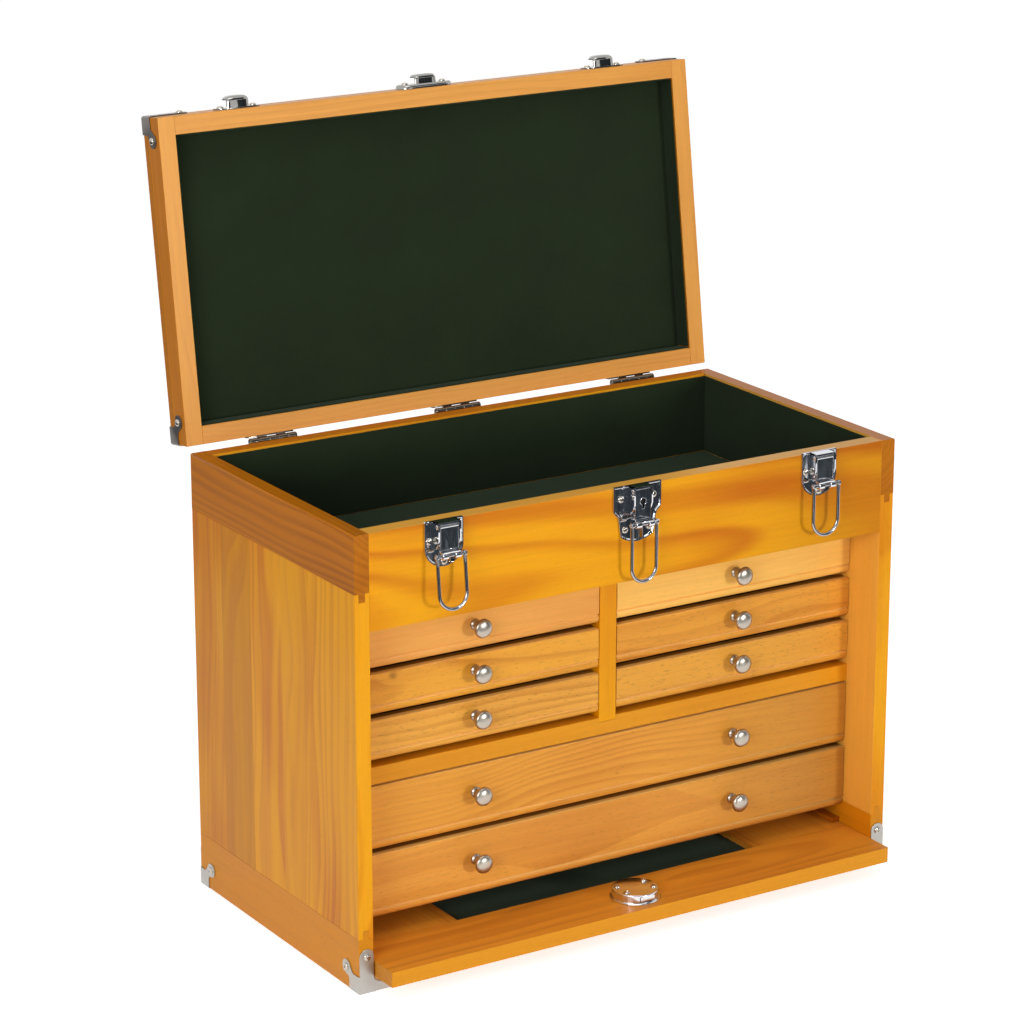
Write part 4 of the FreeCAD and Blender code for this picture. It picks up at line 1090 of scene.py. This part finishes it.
def hinge_knuckles(bm, x, numbers, side):
    """Knuckles and their webs. side is -1 for the case's leaf below, 1 for the lid's above."""
    for number in numbers:
        start, end = knuckle_span(x, number)
        span = end - start
        turned(bm, [(1.56, 0), (2.6, 0), (KNUCKLE, 0.3), (KNUCKLE, span - 0.3), (2.6, span),
                    (1.56, span)], (start, HINGE_Y, HINGE_Z), (1, 0, 0), 28, hollow=True)
        web = sorted((HINGE_Z + side * 1.6, HINGE_Z + side * KNUCKLE))
        brick(bm, (start, BACK_Y + 0.1, web[0]), (end, HINGE_Y - 0.2, web[1]))


def make_hinges():
    """Leaves with their knuckles, pins, and stops that lie flat when the lid is open."""
    case = bmesh.new()
    lid = bmesh.new()
    pins = bmesh.new()
    places = [latch["x"] for latch in LATCHES.values()]

    def back(a, b, depth):
        return (a, BACK_Y + depth, b)

    for x in places:
        for bm, side, numbers in ((case, -1, (0, 2, 4)), (lid, 1, (1, 3))):
            low, high = sorted((HINGE_Z + side * KNUCKLE, HINGE_Z + side * LEAF_REACH))
            pressed(bm, [rounded_leaf(x, low, high)], back, 0, LEAF)
            hinge_knuckles(bm, x, numbers, side)
        turned(pins, PIN_PROFILE, (x - LEAF_HALF, HINGE_Y, HINGE_Z), (1, 0, 0), 20)
    lid.transform(opened_lid())
    for x in places:
        for number in (1, 3):
            start, end = knuckle_span(x, number)
            brick(lid, (start, BACK_Y + 1.55, HINGE_Z - 8), (end, BACK_Y + 3.05, HINGE_Z))
    for bm, body in ((case, "case"), (lid, "lid")):
        piece(bm, "hinge_leaves_" + body, "hinge", body, ["hinge_%s_leaves" % body], 0.25)
    piece(pins, "hinge_pin_rods", "hinge", "case", ["hinge_pins"])


# Draw latches. A latch's points are set out as x, drop below its top, and reach from the case.

# house is the width over the ears, tall the ears' height, drop and knuckle the place and the
# width of the loop's knuckle, lip the lever's reach. loop and length are the wire's outside.
# Screws are at x and drop on the latch, and at x and height on its catch.
SIDE_LATCH = {"house": 20.3, "tall": 22.0, "drop": 26.0, "loop": 27.5, "knuckle": 16.3,
              "lip": 15.0, "length": 42.06, "keyed": False,
              "screws": ((-13.2, 16), (13.2, 16), (0, 33.5)),
              "catch": {"wide": 41, "tall": 16, "thick": 1.2, "depth": 10.0, "rise": 4,
                        "screws": (15, 8)}}
CENTRE_LATCH = {"house": 17.6, "tall": 22.5, "drop": 30.0, "loop": 26.0, "knuckle": 17.0,
                "lip": 18.0, "length": 47.31, "keyed": True,
                "screws": ((-15.2, 10.5), (15.2, 10.5), (-11.5, 36), (11.5, 36)),
                "catch": {"wide": 51, "tall": 19, "thick": 3.6, "depth": 11.0, "rise": 5,
                          "screws": (18, 9.5)}}
LATCHES = {"left": {"x": -177.0, "tilt": 6, **SIDE_LATCH},
           "centre": {"x": 0.0, "tilt": 0, **CENTRE_LATCH},
           "right": {"x": 177.0, "tilt": 0, **SIDE_LATCH}}
# Drop and reach of the lever's pin, and reach of the loop's
PIVOT = (3.5, 8.3)
PIN_REACH = 11.85
# Thickness and reach of the ears, reaches of the lever's face, drop of the keyhole's eye
EAR = 1.2
EAR_REACH = 10.6
FACE_BACK, FACE_MIDDLE, FACE_FRONT = 8.9, 9.5, 10.1
KEY_DROP = 12


def on_front(x):
    """What puts a point of a latch at x: its offset, drop and reach."""
    def place(a, drop, reach):
        return (x + a, FRONT_Y - reach, LATCH_TOP_Z - drop)
    return place


def side_plate_cut():
    half, foot = 17.2, 21.0
    bow = [(half * math.cos(math.pi * number / 18), foot + 16.5 * math.sin(math.pi * number / 18))
           for number in range(1, 18)]
    return [(half, 0.9), (half, foot), *bow, (-half, foot), (-half, 0.9), (-16.3, 0), (16.3, 0)]


def centre_plate_cut():
    right = [(22.45, 0), (22.45, 19.5), (21.9, 21.2), (18.6, 24.6), (17.8, 26.2), (15.5, 41.2),
             (14.4, 42.4), (10.5, 44.6), (5.5, 46.2)]
    return right + [(0, 46.8)] + [(-a, b) for a, b in reversed(right)]


def latch_base(bm, latch, place):
    """The pan-shaped plate with its raised rim, two ears and the bridge between them."""
    cut = centre_plate_cut() if latch["keyed"] else side_plate_cut()
    face = pressed(bm, [cut], place, 0, 1.8)
    inset(bm, face, 0.9, 0.95, 0.9)
    half = latch["house"] / 2
    tall = latch["tall"]
    ear = [(0, 1.0), (0, EAR_REACH - 1), (1.0, EAR_REACH), (tall * 0.62, EAR_REACH),
           (tall * 0.86, 8.2), (tall, 4.4), (tall, 1.0)]
    for side in (-1, 1):
        pressed(bm, [ear], lambda drop, reach, a: place(a, drop, reach), side * (half - EAR),
                side * half)
        turned(bm, [(1.75, 0), (1.75, 0.15), (1.3, 0.4), (0, 0.5)],
               place(side * half, *PIVOT), (side, 0, 0), 18)
    pressed(bm, [[(-half, 0), (half, 0), (half, EAR), (-half, EAR)]], place, 1.0,
            EAR_REACH - 0.2)


def keyhole_cut(grow=0.0):
    """A round eye over a slot, wider all round by grow."""
    radius = 2.5 + grow
    slot = 0.9 + grow * 0.8
    gap = math.degrees(math.asin(slot / radius))
    foot = 17.4 + grow
    return arc((0, KEY_DROP), radius, 90 + gap, 450 - gap, 18) + [(slot, foot), (-slot, foot)]


def latch_lever(bm, latch, place):
    """Barrel, mirror face (inside a raised border on the levers without a keyhole), and the flared
    finger lip with its knuckle.
    """
    half = latch["house"] / 2 - EAR - 0.25
    top = PIVOT[0] - 1.2
    bottom = latch["drop"] - 3.6
    loops = [[(-half, top), (half, top), (half, bottom), (-half, bottom)]]
    if latch["keyed"]:
        loops.append(keyhole_cut())
    faces = pressed(bm, loops, place, FACE_BACK, FACE_FRONT)
    if not latch["keyed"]:
        inset(bm, faces, 0.8, 0.25)
    turned(bm, [(1.2, 0), (1.8, 0.3), (1.8, 2 * half - 0.3), (1.2, 2 * half)],
           place(-half, *PIVOT), (1, 0, 0), 20)
    lever_lip(bm, latch, place, half, bottom)
    grip = latch["knuckle"] / 2
    span = 5.2
    for start in (-grip, grip - span):
        turned(bm, [(1.45, 0), (2.6, 0), (2.95, 0.35), (2.95, span - 0.35), (2.6, span),
                    (1.45, span)],
               place(start, latch["drop"], PIN_REACH), (1, 0, 0), 24, hollow=True)


def lever_lip(bm, latch, place, half, bottom):
    """A sheet that leaves the face, bends outward and ends in a round finger edge."""
    drop = latch["drop"]
    grip = latch["knuckle"] / 2
    tip = latch["lip"]
    # Drop and reach of each row, and its half width
    line = (((bottom - 0.6, FACE_MIDDLE), half), ((bottom, 9.6), half),
            ((bottom + 0.35, 10.2), half * 0.98), ((drop - 2.9, 11.2), (half + grip) / 2),
            ((drop - 2.75, 12.4), grip), ((drop - 3.05, 13.6), grip * 0.93),
            ((drop - 3.4, tip - 0.6), grip * 0.62))
    columns = 10
    shares = [-1 + 2 * column / columns for column in range(columns + 1)]
    rows = []
    for (row_drop, reach), width in line:
        upper, lower = [], []
        for a in shares:
            bulge = (1 - a * a) * (reach - FACE_MIDDLE) / (tip - FACE_MIDDLE)
            out_to = reach + bulge * 0.6
            upper.append(put(bm, place(a * width, row_drop - bulge * 0.5, out_to)))
            lower.append(put(bm, place(a * width, row_drop + 1.1 - bulge * 0.5, out_to - 0.25)))
        rows.append((upper, lower))
    for (up_a, low_a), (up_b, low_b) in zip(rows, rows[1:]):
        bridge(bm, up_a, up_b, closed=False)
        bridge(bm, low_a, low_b, closed=False)
        for edge in (0, -1):
            bridge(bm, [up_a[edge], up_b[edge]], [low_a[edge], low_b[edge]], closed=False)
    for upper, lower in (rows[0], rows[-1]):
        bridge(bm, upper, lower, closed=False)


def loop_path(latch, place, half):
    """From one eye down its leg, round the bow and up to the other eye."""
    drop = latch["drop"]
    bow_drop = drop + latch["length"] - half
    steps = 7
    leg = [drop + (bow_drop - drop) * number / steps for number in range(1, steps)]
    path = ([(-half, drop + 1.2)] + [(-half, down) for down in leg]
            + arc((0, bow_drop), half, 180, 0, 28)
            + [(half, down) for down in reversed(leg)] + [(half, drop + 1.2)])
    return [place(a, b, PIN_REACH) for a, b in path]


def hang(bm, latch, place):
    """Swing a loop out about its pin, the way that it hangs."""
    pin = Vector(place(0, latch["drop"], PIN_REACH)) * MM
    bm.transform(Matrix.Translation(pin) @ Matrix.Rotation(-math.radians(latch["tilt"]), 4, "X")
                 @ Matrix.Translation(-pin))


def make_loop(latch, name, place):
    """The bent wire with its two eyes, and the pin through them.

    The keyed one also has a stud under its bow, and the end of a thin spring beside its knuckle.
    """
    wire = bpy.context.scene.toolbox_metal.wire / MM / 2
    half = latch["loop"] / 2 - wire
    drop = latch["drop"]
    bm = bmesh.new()
    path = loop_path(latch, place, half)
    tube(bm, path, [wire * 0.9] + [wire] * (len(path) - 2) + [wire * 0.9], 18)
    for side in (-1, 1):
        turned(bm, [(1.9, -1.15), (2.35, -0.8), (2.35, 0.8), (1.9, 1.15)],
               place(side * half, drop, PIN_REACH), (side, 0, 0), 24)
        turned(bm, [(1.35, 0), (1.35, 0.5), (1.0, 0.95), (0, 1.1)],
               place(side * (half + 1.1), drop, PIN_REACH), (side, 0, 0), 18)
    turned(bm, [(1.38, 0), (1.38, 2 * half)], place(-half, drop, PIN_REACH), (1, 0, 0), 20)
    if latch["keyed"]:
        turned(bm, [(1.25, -0.6), (1.25, 1.1), (0.8, 1.6), (0, 1.7)],
               place(0, drop + latch["length"], PIN_REACH), (0, 0, 1), 18)
        tube(bm, [place(6.9, drop + 2.1, PIN_REACH + 1.6), place(9.4, drop - 1.2, PIN_REACH + 2.6),
                  place(12.2, drop - 2.3, PIN_REACH + 2.7)], 0.35, 8)
    hang(bm, latch, place)
    piece(bm, name + "_loop_wire", "shaded_loop_chrome", name + "_loop", [name + "_latch_loop"])


def make_latches():
    bases = bmesh.new()
    for name, latch in LATCHES.items():
        place = on_front(latch["x"])
        latch_base(bases, latch, place)
        lever = bmesh.new()
        latch_lever(lever, latch, place)
        piece(lever, name + "_lever_plate", "chrome", name + "_lever", [name + "_latch_lever"],
              0.3)
        make_loop(latch, name, place)
    piece(bases, "latch_base_plates", "chrome", "case", ["latch_plates"], 0.28)
    make_keyhole(on_front(LATCHES["centre"]["x"]))


def make_keyhole(place):
    """A bright collar round the keyhole, and behind it the lock, near-black as painted shade."""
    collar = bmesh.new()
    pressed(collar, [keyhole_cut(0.75), keyhole_cut(-0.05)], place, FACE_FRONT - 0.1,
            FACE_FRONT + 0.35)
    piece(collar, "keyhole_collar", "chrome", "centre_lever", bevel=0.15)
    well = bmesh.new()
    turned(well, [(4.2, 0), (4.2, 0.4)], place(0, KEY_DROP + 1, 8.2), (0, -1, 0), 24)
    turned(well, [(0.75, 0), (0.75, 1.0), (0, 1.2)], place(0, KEY_DROP, 8.6), (0, -1, 0), 16)
    piece(well, "keyhole_well", "dark_well", "centre_lever")


# Lid catches

def catch_cut(width, height):
    """A plate with two round ends, standing on 0."""
    half = (width - height) / 2
    middle = height / 2
    return (arc((half, middle), middle, -90, 90, 14)
            + arc((-half, middle), middle, 90, 270, 14))


def catch_hook(bm, x, catch, rimmed):
    """A pressed tongue: a floor that curls up into an outer wall, with rounded corners.

    The side ones swell in the middle, the centre one carries a raised rim.
    """
    thick, depth = catch["thick"], catch["depth"]
    rise = CATCH_LOW_Z + catch["rise"]
    outer = [(thick - 0.4, 0), (depth - 3.4, 0), (depth - 2.2, 0.25), (depth - 1.1, 0.8),
             (depth - 0.35, 1.7), (depth, 2.8), (depth, 8.8), (depth - 0.5, 9.5)]
    inner = [(depth - 1.1, 9.5), (depth - 1.3, 8.8), (depth - 1.3, 3.0), (depth - 1.6, 2.3),
             (depth - 2.1, 1.8), (depth - 2.8, 1.5), (depth - 3.4, 1.4), (thick - 0.4, 1.4)]
    lows = [1, 1, 0.9, 0.7, 0.4, 0.1, 0, 0]
    half = 9.75
    columns = 20
    rings = []
    for column in range(columns + 1):
        a = half * math.sin(math.pi * (column / columns - 0.5))
        edge = abs(a) / half
        if rimmed:
            swell = 0.7 * max(0.0, min(1.0, (edge - 0.7) / 0.12))
        else:
            swell = 0.9 * (1 - edge ** 2)
        swell -= 1.1 * edge ** 8
        ring = []
        for (reach, up), low in zip(outer + inner, lows + lows[::-1]):
            pull = max(0.0, (reach - thick) / (depth - thick)) * 1.5 * edge ** 6
            ring.append(put(bm, (x + a, FRONT_Y - reach - swell * (1 - low) * 0.5 + pull,
                                 rise + up - swell * low)))
        rings.append(ring)
    loft(bm, rings, capped=True)


def make_catches():
    """Plates with two round ends and their hooks, on the lid's front edge."""
    bm = bmesh.new()
    for latch in LATCHES.values():
        x, catch = latch["x"], latch["catch"]

        def place(a, up, reach, x=x):
            return (x + a, FRONT_Y - reach, CATCH_LOW_Z + up)

        if latch["keyed"]:
            loft(bm, [[put(bm, place(a, up + shrink, reach)) for a, up in
                       catch_cut(catch["wide"] - 2 * shrink, catch["tall"] - 2 * shrink)]
                      for shrink, reach in ((0, 0), (0, 1.9), (0.35, 2.5), (1.5, catch["thick"]))],
                 capped=True)
        else:
            pressed(bm, [catch_cut(catch["wide"], catch["tall"])], place, 0, catch["thick"])
        catch_hook(bm, x, catch, latch["keyed"])
    piece(bm, "lid_catch_plates", "shaded_catch_chrome", "lid", ["lid_catches"], 0.28,
          lid=True)


# Panel lock

LOCK_RADIUS = 19.25
LOCK_TALL = 8.5
# Half the width of the bolt's window, and the points along its top and bottom
WINDOW_HALF = 7.2
WINDOW_STEPS = 8


def lock_drum(bm, centre, bolt_foot, bolt_top):
    """A round case with a window in its side, out of which the bolt comes."""
    window = math.degrees(math.asin(WINDOW_HALF / LOCK_RADIUS))
    angles = [-90 - window + 2 * window * step / WINDOW_STEPS for step in range(WINDOW_STEPS)]
    angles += [-90 + window + (360 - 2 * window) * step / 64 for step in range(64)]
    rings = []
    for shrink, height in ((0, 1.4), (0, bolt_foot - 0.3), (0, bolt_top + 0.35),
                           (0, LOCK_TALL - 0.8), (0.1, LOCK_TALL - 0.45),
                           (0.35, LOCK_TALL - 0.15), (0.8, LOCK_TALL)):
        reach = LOCK_RADIUS - shrink
        rings.append([put(bm, centre + Vector((reach * math.cos(math.radians(angle)),
                                               reach * math.sin(math.radians(angle)), height)))
                      for angle in angles])
    for number, (below, above) in enumerate(zip(rings, rings[1:])):
        for step in range(WINDOW_STEPS if number == 1 else 0, len(angles)):
            after = (step + 1) % len(angles)
            bm.faces.new((below[step], below[after], above[after], above[step]))
    bm.faces.new(rings[-1])
    bm.faces.new(rings[0])
    mouth = rings[1][:WINDOW_STEPS + 1] + rings[2][:WINDOW_STEPS + 1][::-1]
    inner = [put(bm, vert.co / MM + Vector((0, 5.0, 0))) for vert in mouth]
    bridge(bm, mouth, inner)
    bm.faces.new(inner)


def make_panel_lock():
    """The round lock on the panel's inner side, its screws, bolt and plug."""
    low, high = cad_corners("panel_lock_case")
    bolt_low, bolt_high = cad_corners("panel_lock_bolt")
    centre = Vector(((low.x + high.x) / 2, (low.y + high.y) / 2, low.z))
    bm = bmesh.new()
    turned(bm, [(20.4, 0), (20.75, 0.3), (20.75, 1.1), (20.3, 1.5), (19.0, 1.5)],
           centre, (0, 0, 1), 72)
    lock_drum(bm, centre, bolt_low.z - low.z, bolt_high.z - low.z)
    piece(bm, "panel_lock_body", "lock_chrome", "front_panel", ["panel_lock_case"])
    heads = bmesh.new()
    turn = 10
    for a in (-13.0, 13.0):
        for b in (-7.3, 7.3):
            turn += 33
            screw(heads, centre + Vector((a, b, LOCK_TALL)), (0, 0, 1), turn, 0.92)
    piece(heads, "panel_lock_screws", "screw", "front_panel")
    ease_edges(dress("panel_lock_bolt", "lock_chrome"), 0.25)
    ease_edges(dress("panel_lock_plug", "nickel"), 0.25)


# Stage

# Dark cards that the plated parts mirror: name, centre, aim, width and height in metres,
# and brightness
CARDS = (
    ("card_floor_right", (1.4, -2.2, 0.004), (0, 0, 1), 3.4, 2.9, 0.02),
    ("card_wall_right", (2.75, -3.1, 1.1), (-0.66, 0.75, 0), 2.6, 2.2, 0.02),
    ("card_wall_left", (-2.1, -3.9, 0.95), (0.47, 0.88, 0), 3.0, 2.0, 0.03),
    ("card_above", (0.6, -2.6, 3.3), (-0.1, 0.6, -0.8), 4.6, 2.6, 0.03),
    ("card_floor_left", (-2.0, 1.7, 0.004), (0, 0, 1), 2.7, 3.2, 0.025),
    ("card_floor_front", (-1.6, -1.65, 0.004), (0, 0, 1), 2.2, 3.4, 0.03))
FLOOR_HALF = 14
CAMERA_PLACE = (-1.54629, -2.42159, 1.19436)
CAMERA_AIM = (0.50718, 0.81097, -0.29171)
DARK_STREAK = (0.75, 1, 1.35)
PALE_STREAK = (9, 10, 10.6)


def add_lamp(name, power, size, spot, target):
    """A lamp of size metres, wide and tall, that stands at spot and shines at target."""
    lamp = bpy.data.lights.new(name, "AREA")
    lamp.energy = power
    lamp.shape = "RECTANGLE"
    lamp.size, lamp.size_y = size
    made = bpy.data.objects.new(name, lamp)
    made.location = spot
    made.rotation_euler = (Vector(target) - Vector(spot)).to_track_quat("-Z", "Y").to_euler()
    bpy.context.scene.collection.objects.link(made)


def rectangle(centre, aim, wide, tall):
    """A flat sheet in metres, facing aim."""
    bm = bmesh.new()
    turn = Vector(aim).to_track_quat("Z", "Y").to_matrix()
    bm.faces.new([bm.verts.new(Vector(centre) + turn @ Vector((a * wide / 2, b * tall / 2, 0)))
                  for a, b in ((-1, -1), (1, -1), (1, 1), (-1, 1))])
    return bm


def add_card(name, centre, aim, wide, tall, level):
    """A dark, streaked studio card that only mirrors see."""
    finish = Finish(name, {"Base Color": (0, 0, 0, 1), "Specular IOR Level": 0.0,
                           "Emission Strength": 1.0})
    streak = finish.haze((60, 4, 8), 2.0, 0.6)
    dark, pale = (tuple(level * part for part in tint) for tint in (DARK_STREAK, PALE_STREAK))
    finish.feed("Emission Color", finish.mix(streak.between(0.46, 0.72), dark, pale))
    card = add_object(rectangle(centre, aim, wide, tall), name, name)
    card.visible_camera = False
    card.visible_diffuse = False
    card.visible_shadow = False
    card.visible_transmission = False


def make_surround(ambient):
    """Even light from all round, which cameras, mirrors and glass see as plain white."""
    world = bpy.data.worlds.new("studio")
    world.use_nodes = True
    studio = NodeWork(world.node_tree)
    seen = studio.node("ShaderNodeLightPath", {}, {}, "Is Camera Ray")
    straight = seen + seen.part("Is Glossy Ray") + seen.part("Is Transmission Ray")
    background = studio.tree.nodes["Background"]
    background.inputs["Color"].default_value = (1, 1, 1, 1)
    strength = straight * (1 - ambient) + ambient
    studio.tree.links.new(strength.socket, background.inputs["Strength"])
    return world


def make_stage():
    """White floor and surround, three lamps, the dark cards and the camera."""
    look = bpy.context.scene.toolbox_stage
    scene = bpy.context.scene
    finish = Finish("floor_white", {"Base Color": (*look.floor, 1), "Roughness": 0.9,
                                    "Specular IOR Level": 0.0, "Emission Strength": 1.0})
    seen = finish.node("ShaderNodeLightPath", {}, {}, "Is Camera Ray")
    mirrored = seen.part("Is Glossy Ray") + seen.part("Is Transmission Ray")
    finish.feed("Emission Color", (seen + mirrored) * look.lift)
    wide = 2 * FLOOR_HALF
    add_object(rectangle((0, 0, 0), (0, 0, 1), wide, wide), "floor", "floor_white")

    scene.world = make_surround(look.ambient)

    add_lamp("key_lamp", look.key, (0.42, 0.4), (0.94, -3.27, 0.66), (0, 0, 0.3))
    add_lamp("side_lamp", look.side, (0.9, 0.9), (-1.95, -1.45, 0.95), (-0.1, -0.1, 0.2))
    add_lamp("top_lamp", look.top, (1.6, 1.2), (-0.3, -0.6, 2.6), (0, 0, 0.3))
    for card in CARDS:
        add_card(*card)

    lens = bpy.data.cameras.new("camera")
    lens.lens = look.lens
    lens.sensor_width = 36
    lens.clip_end = 60
    camera = bpy.data.objects.new("camera", lens)
    camera.location = CAMERA_PLACE
    camera.rotation_euler = Vector(CAMERA_AIM).to_track_quat("-Z", "Y").to_euler()
    scene.collection.objects.link(camera)
    scene.camera = camera
    scene.view_settings.view_transform = "Standard"


def make_finishes():
    """The finishes that several pieces share."""
    look = bpy.context.scene.toolbox_metal
    felt("felt")
    metal("chrome", look.chrome, look.chrome_dullness, scratch=0.08, buckle=22)
    # Painted shade: a darker copy of the chrome, for the loops
    metal("shaded_loop_chrome", look.loop, look.chrome_dullness, scratch=0.08)
    # Painted shade: a darker copy of the chrome, for the catches
    metal("shaded_catch_chrome", look.catch, look.chrome_dullness, scratch=0.08)
    metal("lock_chrome", look.chrome, look.chrome_dullness + 0.09, 0.08, 0.1)
    metal("nickel", look.nickel, look.nickel_dullness, 0.05, 0.03, 0.2)
    metal("steel", look.steel, 0.36, 0.12, 0.08, 0.5)
    # Painted shade: a darker copy of the guard steel, for the lid's guards
    metal("shaded_lid_steel", look.shaded_lid_steel, 0.3, 0.12, 0.08, 0.5)
    metal("screw", look.screw, 0.16, 0.1, 0.05)
    metal("hinge", look.hinge, 0.14, 0.1, 0.1, 0.2)
    dark_well("dark_well")


# Operators

class TOOLBOX_OT_finishes(bpy.types.Operator):
    """Mix the felt and metal finishes that the pieces share"""
    bl_idname = "toolbox.finishes"
    bl_label = "Finishes"

    def execute(self, context):
        make_finishes()
        return {"FINISHED"}


class TOOLBOX_OT_case(bpy.types.Operator):
    """Give the boards of the case their woods"""
    bl_idname = "toolbox.case"
    bl_label = "Case boards"

    def execute(self, context):
        dress_case()
        return {"FINISHED"}


class TOOLBOX_OT_drawers(bpy.types.Operator):
    """Give drawer fronts and boxes their woods"""
    bl_idname = "toolbox.drawers"
    bl_label = "Drawers"

    def execute(self, context):
        dress_drawers()
        return {"FINISHED"}


class TOOLBOX_OT_lid(bpy.types.Operator):
    """Give the lid's frame and board their woods"""
    bl_idname = "toolbox.lid"
    bl_label = "Lid boards"

    def execute(self, context):
        dress_lid()
        return {"FINISHED"}


class TOOLBOX_OT_panel(bpy.types.Operator):
    """Give the slide-away front panel its woods"""
    bl_idname = "toolbox.panel"
    bl_label = "Front panel"

    def execute(self, context):
        dress_panel()
        return {"FINISHED"}


class TOOLBOX_OT_felts(bpy.types.Operator):
    """Line tray, lid, panel and drawers with felt"""
    bl_idname = "toolbox.felts"
    bl_label = "Felt linings"

    def execute(self, context):
        line_tray()
        line_lid()
        line_panel_and_drawers()
        return {"FINISHED"}


class TOOLBOX_OT_knobs(bpy.types.Operator):
    """Turn the drawer knobs"""
    bl_idname = "toolbox.knobs"
    bl_label = "Knobs"

    def execute(self, context):
        make_knobs()
        return {"FINISHED"}


class TOOLBOX_OT_screws(bpy.types.Operator):
    """Set the screws of guards, hinges, latches and catches"""
    bl_idname = "toolbox.screws"
    bl_label = "Screws"

    def execute(self, context):
        make_screws()
        return {"FINISHED"}


class TOOLBOX_OT_guards(bpy.types.Operator):
    """Fold the corner guards of case and lid"""
    bl_idname = "toolbox.guards"
    bl_label = "Corner guards"

    def execute(self, context):
        make_guards()
        return {"FINISHED"}


class TOOLBOX_OT_hinges(bpy.types.Operator):
    """Make the three hinges with their stops and pins"""
    bl_idname = "toolbox.hinges"
    bl_label = "Hinges"

    def execute(self, context):
        make_hinges()
        return {"FINISHED"}


class TOOLBOX_OT_latches(bpy.types.Operator):
    """Make plates, levers and loops of the draw latches"""
    bl_idname = "toolbox.latches"
    bl_label = "Draw latches"

    def execute(self, context):
        make_latches()
        return {"FINISHED"}


class TOOLBOX_OT_catches(bpy.types.Operator):
    """Make the catches on the lid"""
    bl_idname = "toolbox.catches"
    bl_label = "Lid catches"

    def execute(self, context):
        make_catches()
        return {"FINISHED"}


class TOOLBOX_OT_panel_lock(bpy.types.Operator):
    """Make the round lock of the front panel"""
    bl_idname = "toolbox.panel_lock"
    bl_label = "Panel lock"

    def execute(self, context):
        make_panel_lock()
        return {"FINISHED"}


class TOOLBOX_OT_stage(bpy.types.Operator):
    """Set up floor, lamps and camera"""
    bl_idname = "toolbox.stage"
    bl_label = "Stage"

    def execute(self, context):
        make_stage()
        return {"FINISHED"}


OPERATORS = (TOOLBOX_OT_finishes, TOOLBOX_OT_case, TOOLBOX_OT_drawers, TOOLBOX_OT_lid,
             TOOLBOX_OT_panel, TOOLBOX_OT_felts, TOOLBOX_OT_knobs, TOOLBOX_OT_screws,
             TOOLBOX_OT_guards, TOOLBOX_OT_hinges, TOOLBOX_OT_latches, TOOLBOX_OT_catches,
             TOOLBOX_OT_panel_lock, TOOLBOX_OT_stage)
SETTINGS = {"toolbox_wood": WoodSettings, "toolbox_felt": FeltSettings,
            "toolbox_metal": MetalSettings, "toolbox_stage": StageSettings}


class TOOLBOX_PT_panel(bpy.types.Panel):
    """Lists the steps that dress the toolbox, and what can be changed"""
    bl_idname = "TOOLBOX_PT_panel"
    bl_label = "Machinist's toolbox"
    bl_space_type = "VIEW_3D"
    bl_region_type = "UI"
    bl_category = "Toolbox"

    def draw(self, context):
        for operator in OPERATORS:
            self.layout.operator(operator.bl_idname)
        for name, group in SETTINGS.items():
            box = self.layout.box()
            for setting in group.__annotations__:
                box.prop(getattr(context.scene, name), setting)


def register():
    for group in SETTINGS.values():
        bpy.utils.register_class(group)
    for operator in OPERATORS:
        bpy.utils.register_class(operator)
    bpy.utils.register_class(TOOLBOX_PT_panel)
    for name, group in SETTINGS.items():
        setattr(bpy.types.Scene, name, PointerProperty(type=group))


def unregister():
    for name in SETTINGS:
        delattr(bpy.types.Scene, name)
    bpy.utils.unregister_class(TOOLBOX_PT_panel)
    for operator in reversed(OPERATORS):
        bpy.utils.unregister_class(operator)
    for group in SETTINGS.values():
        bpy.utils.unregister_class(group)


def main():
    """Build everything."""
    register()
    bpy.ops.toolbox.finishes()
    bpy.ops.toolbox.case()
    bpy.ops.toolbox.drawers()
    bpy.ops.toolbox.lid()
    bpy.ops.toolbox.panel()
    bpy.ops.toolbox.felts()
    bpy.ops.toolbox.knobs()
    bpy.ops.toolbox.screws()
    bpy.ops.toolbox.guards()
    bpy.ops.toolbox.hinges()
    bpy.ops.toolbox.latches()
    bpy.ops.toolbox.catches()
    bpy.ops.toolbox.panel_lock()
    bpy.ops.toolbox.stage()


if __name__ == "__main__":
    main()
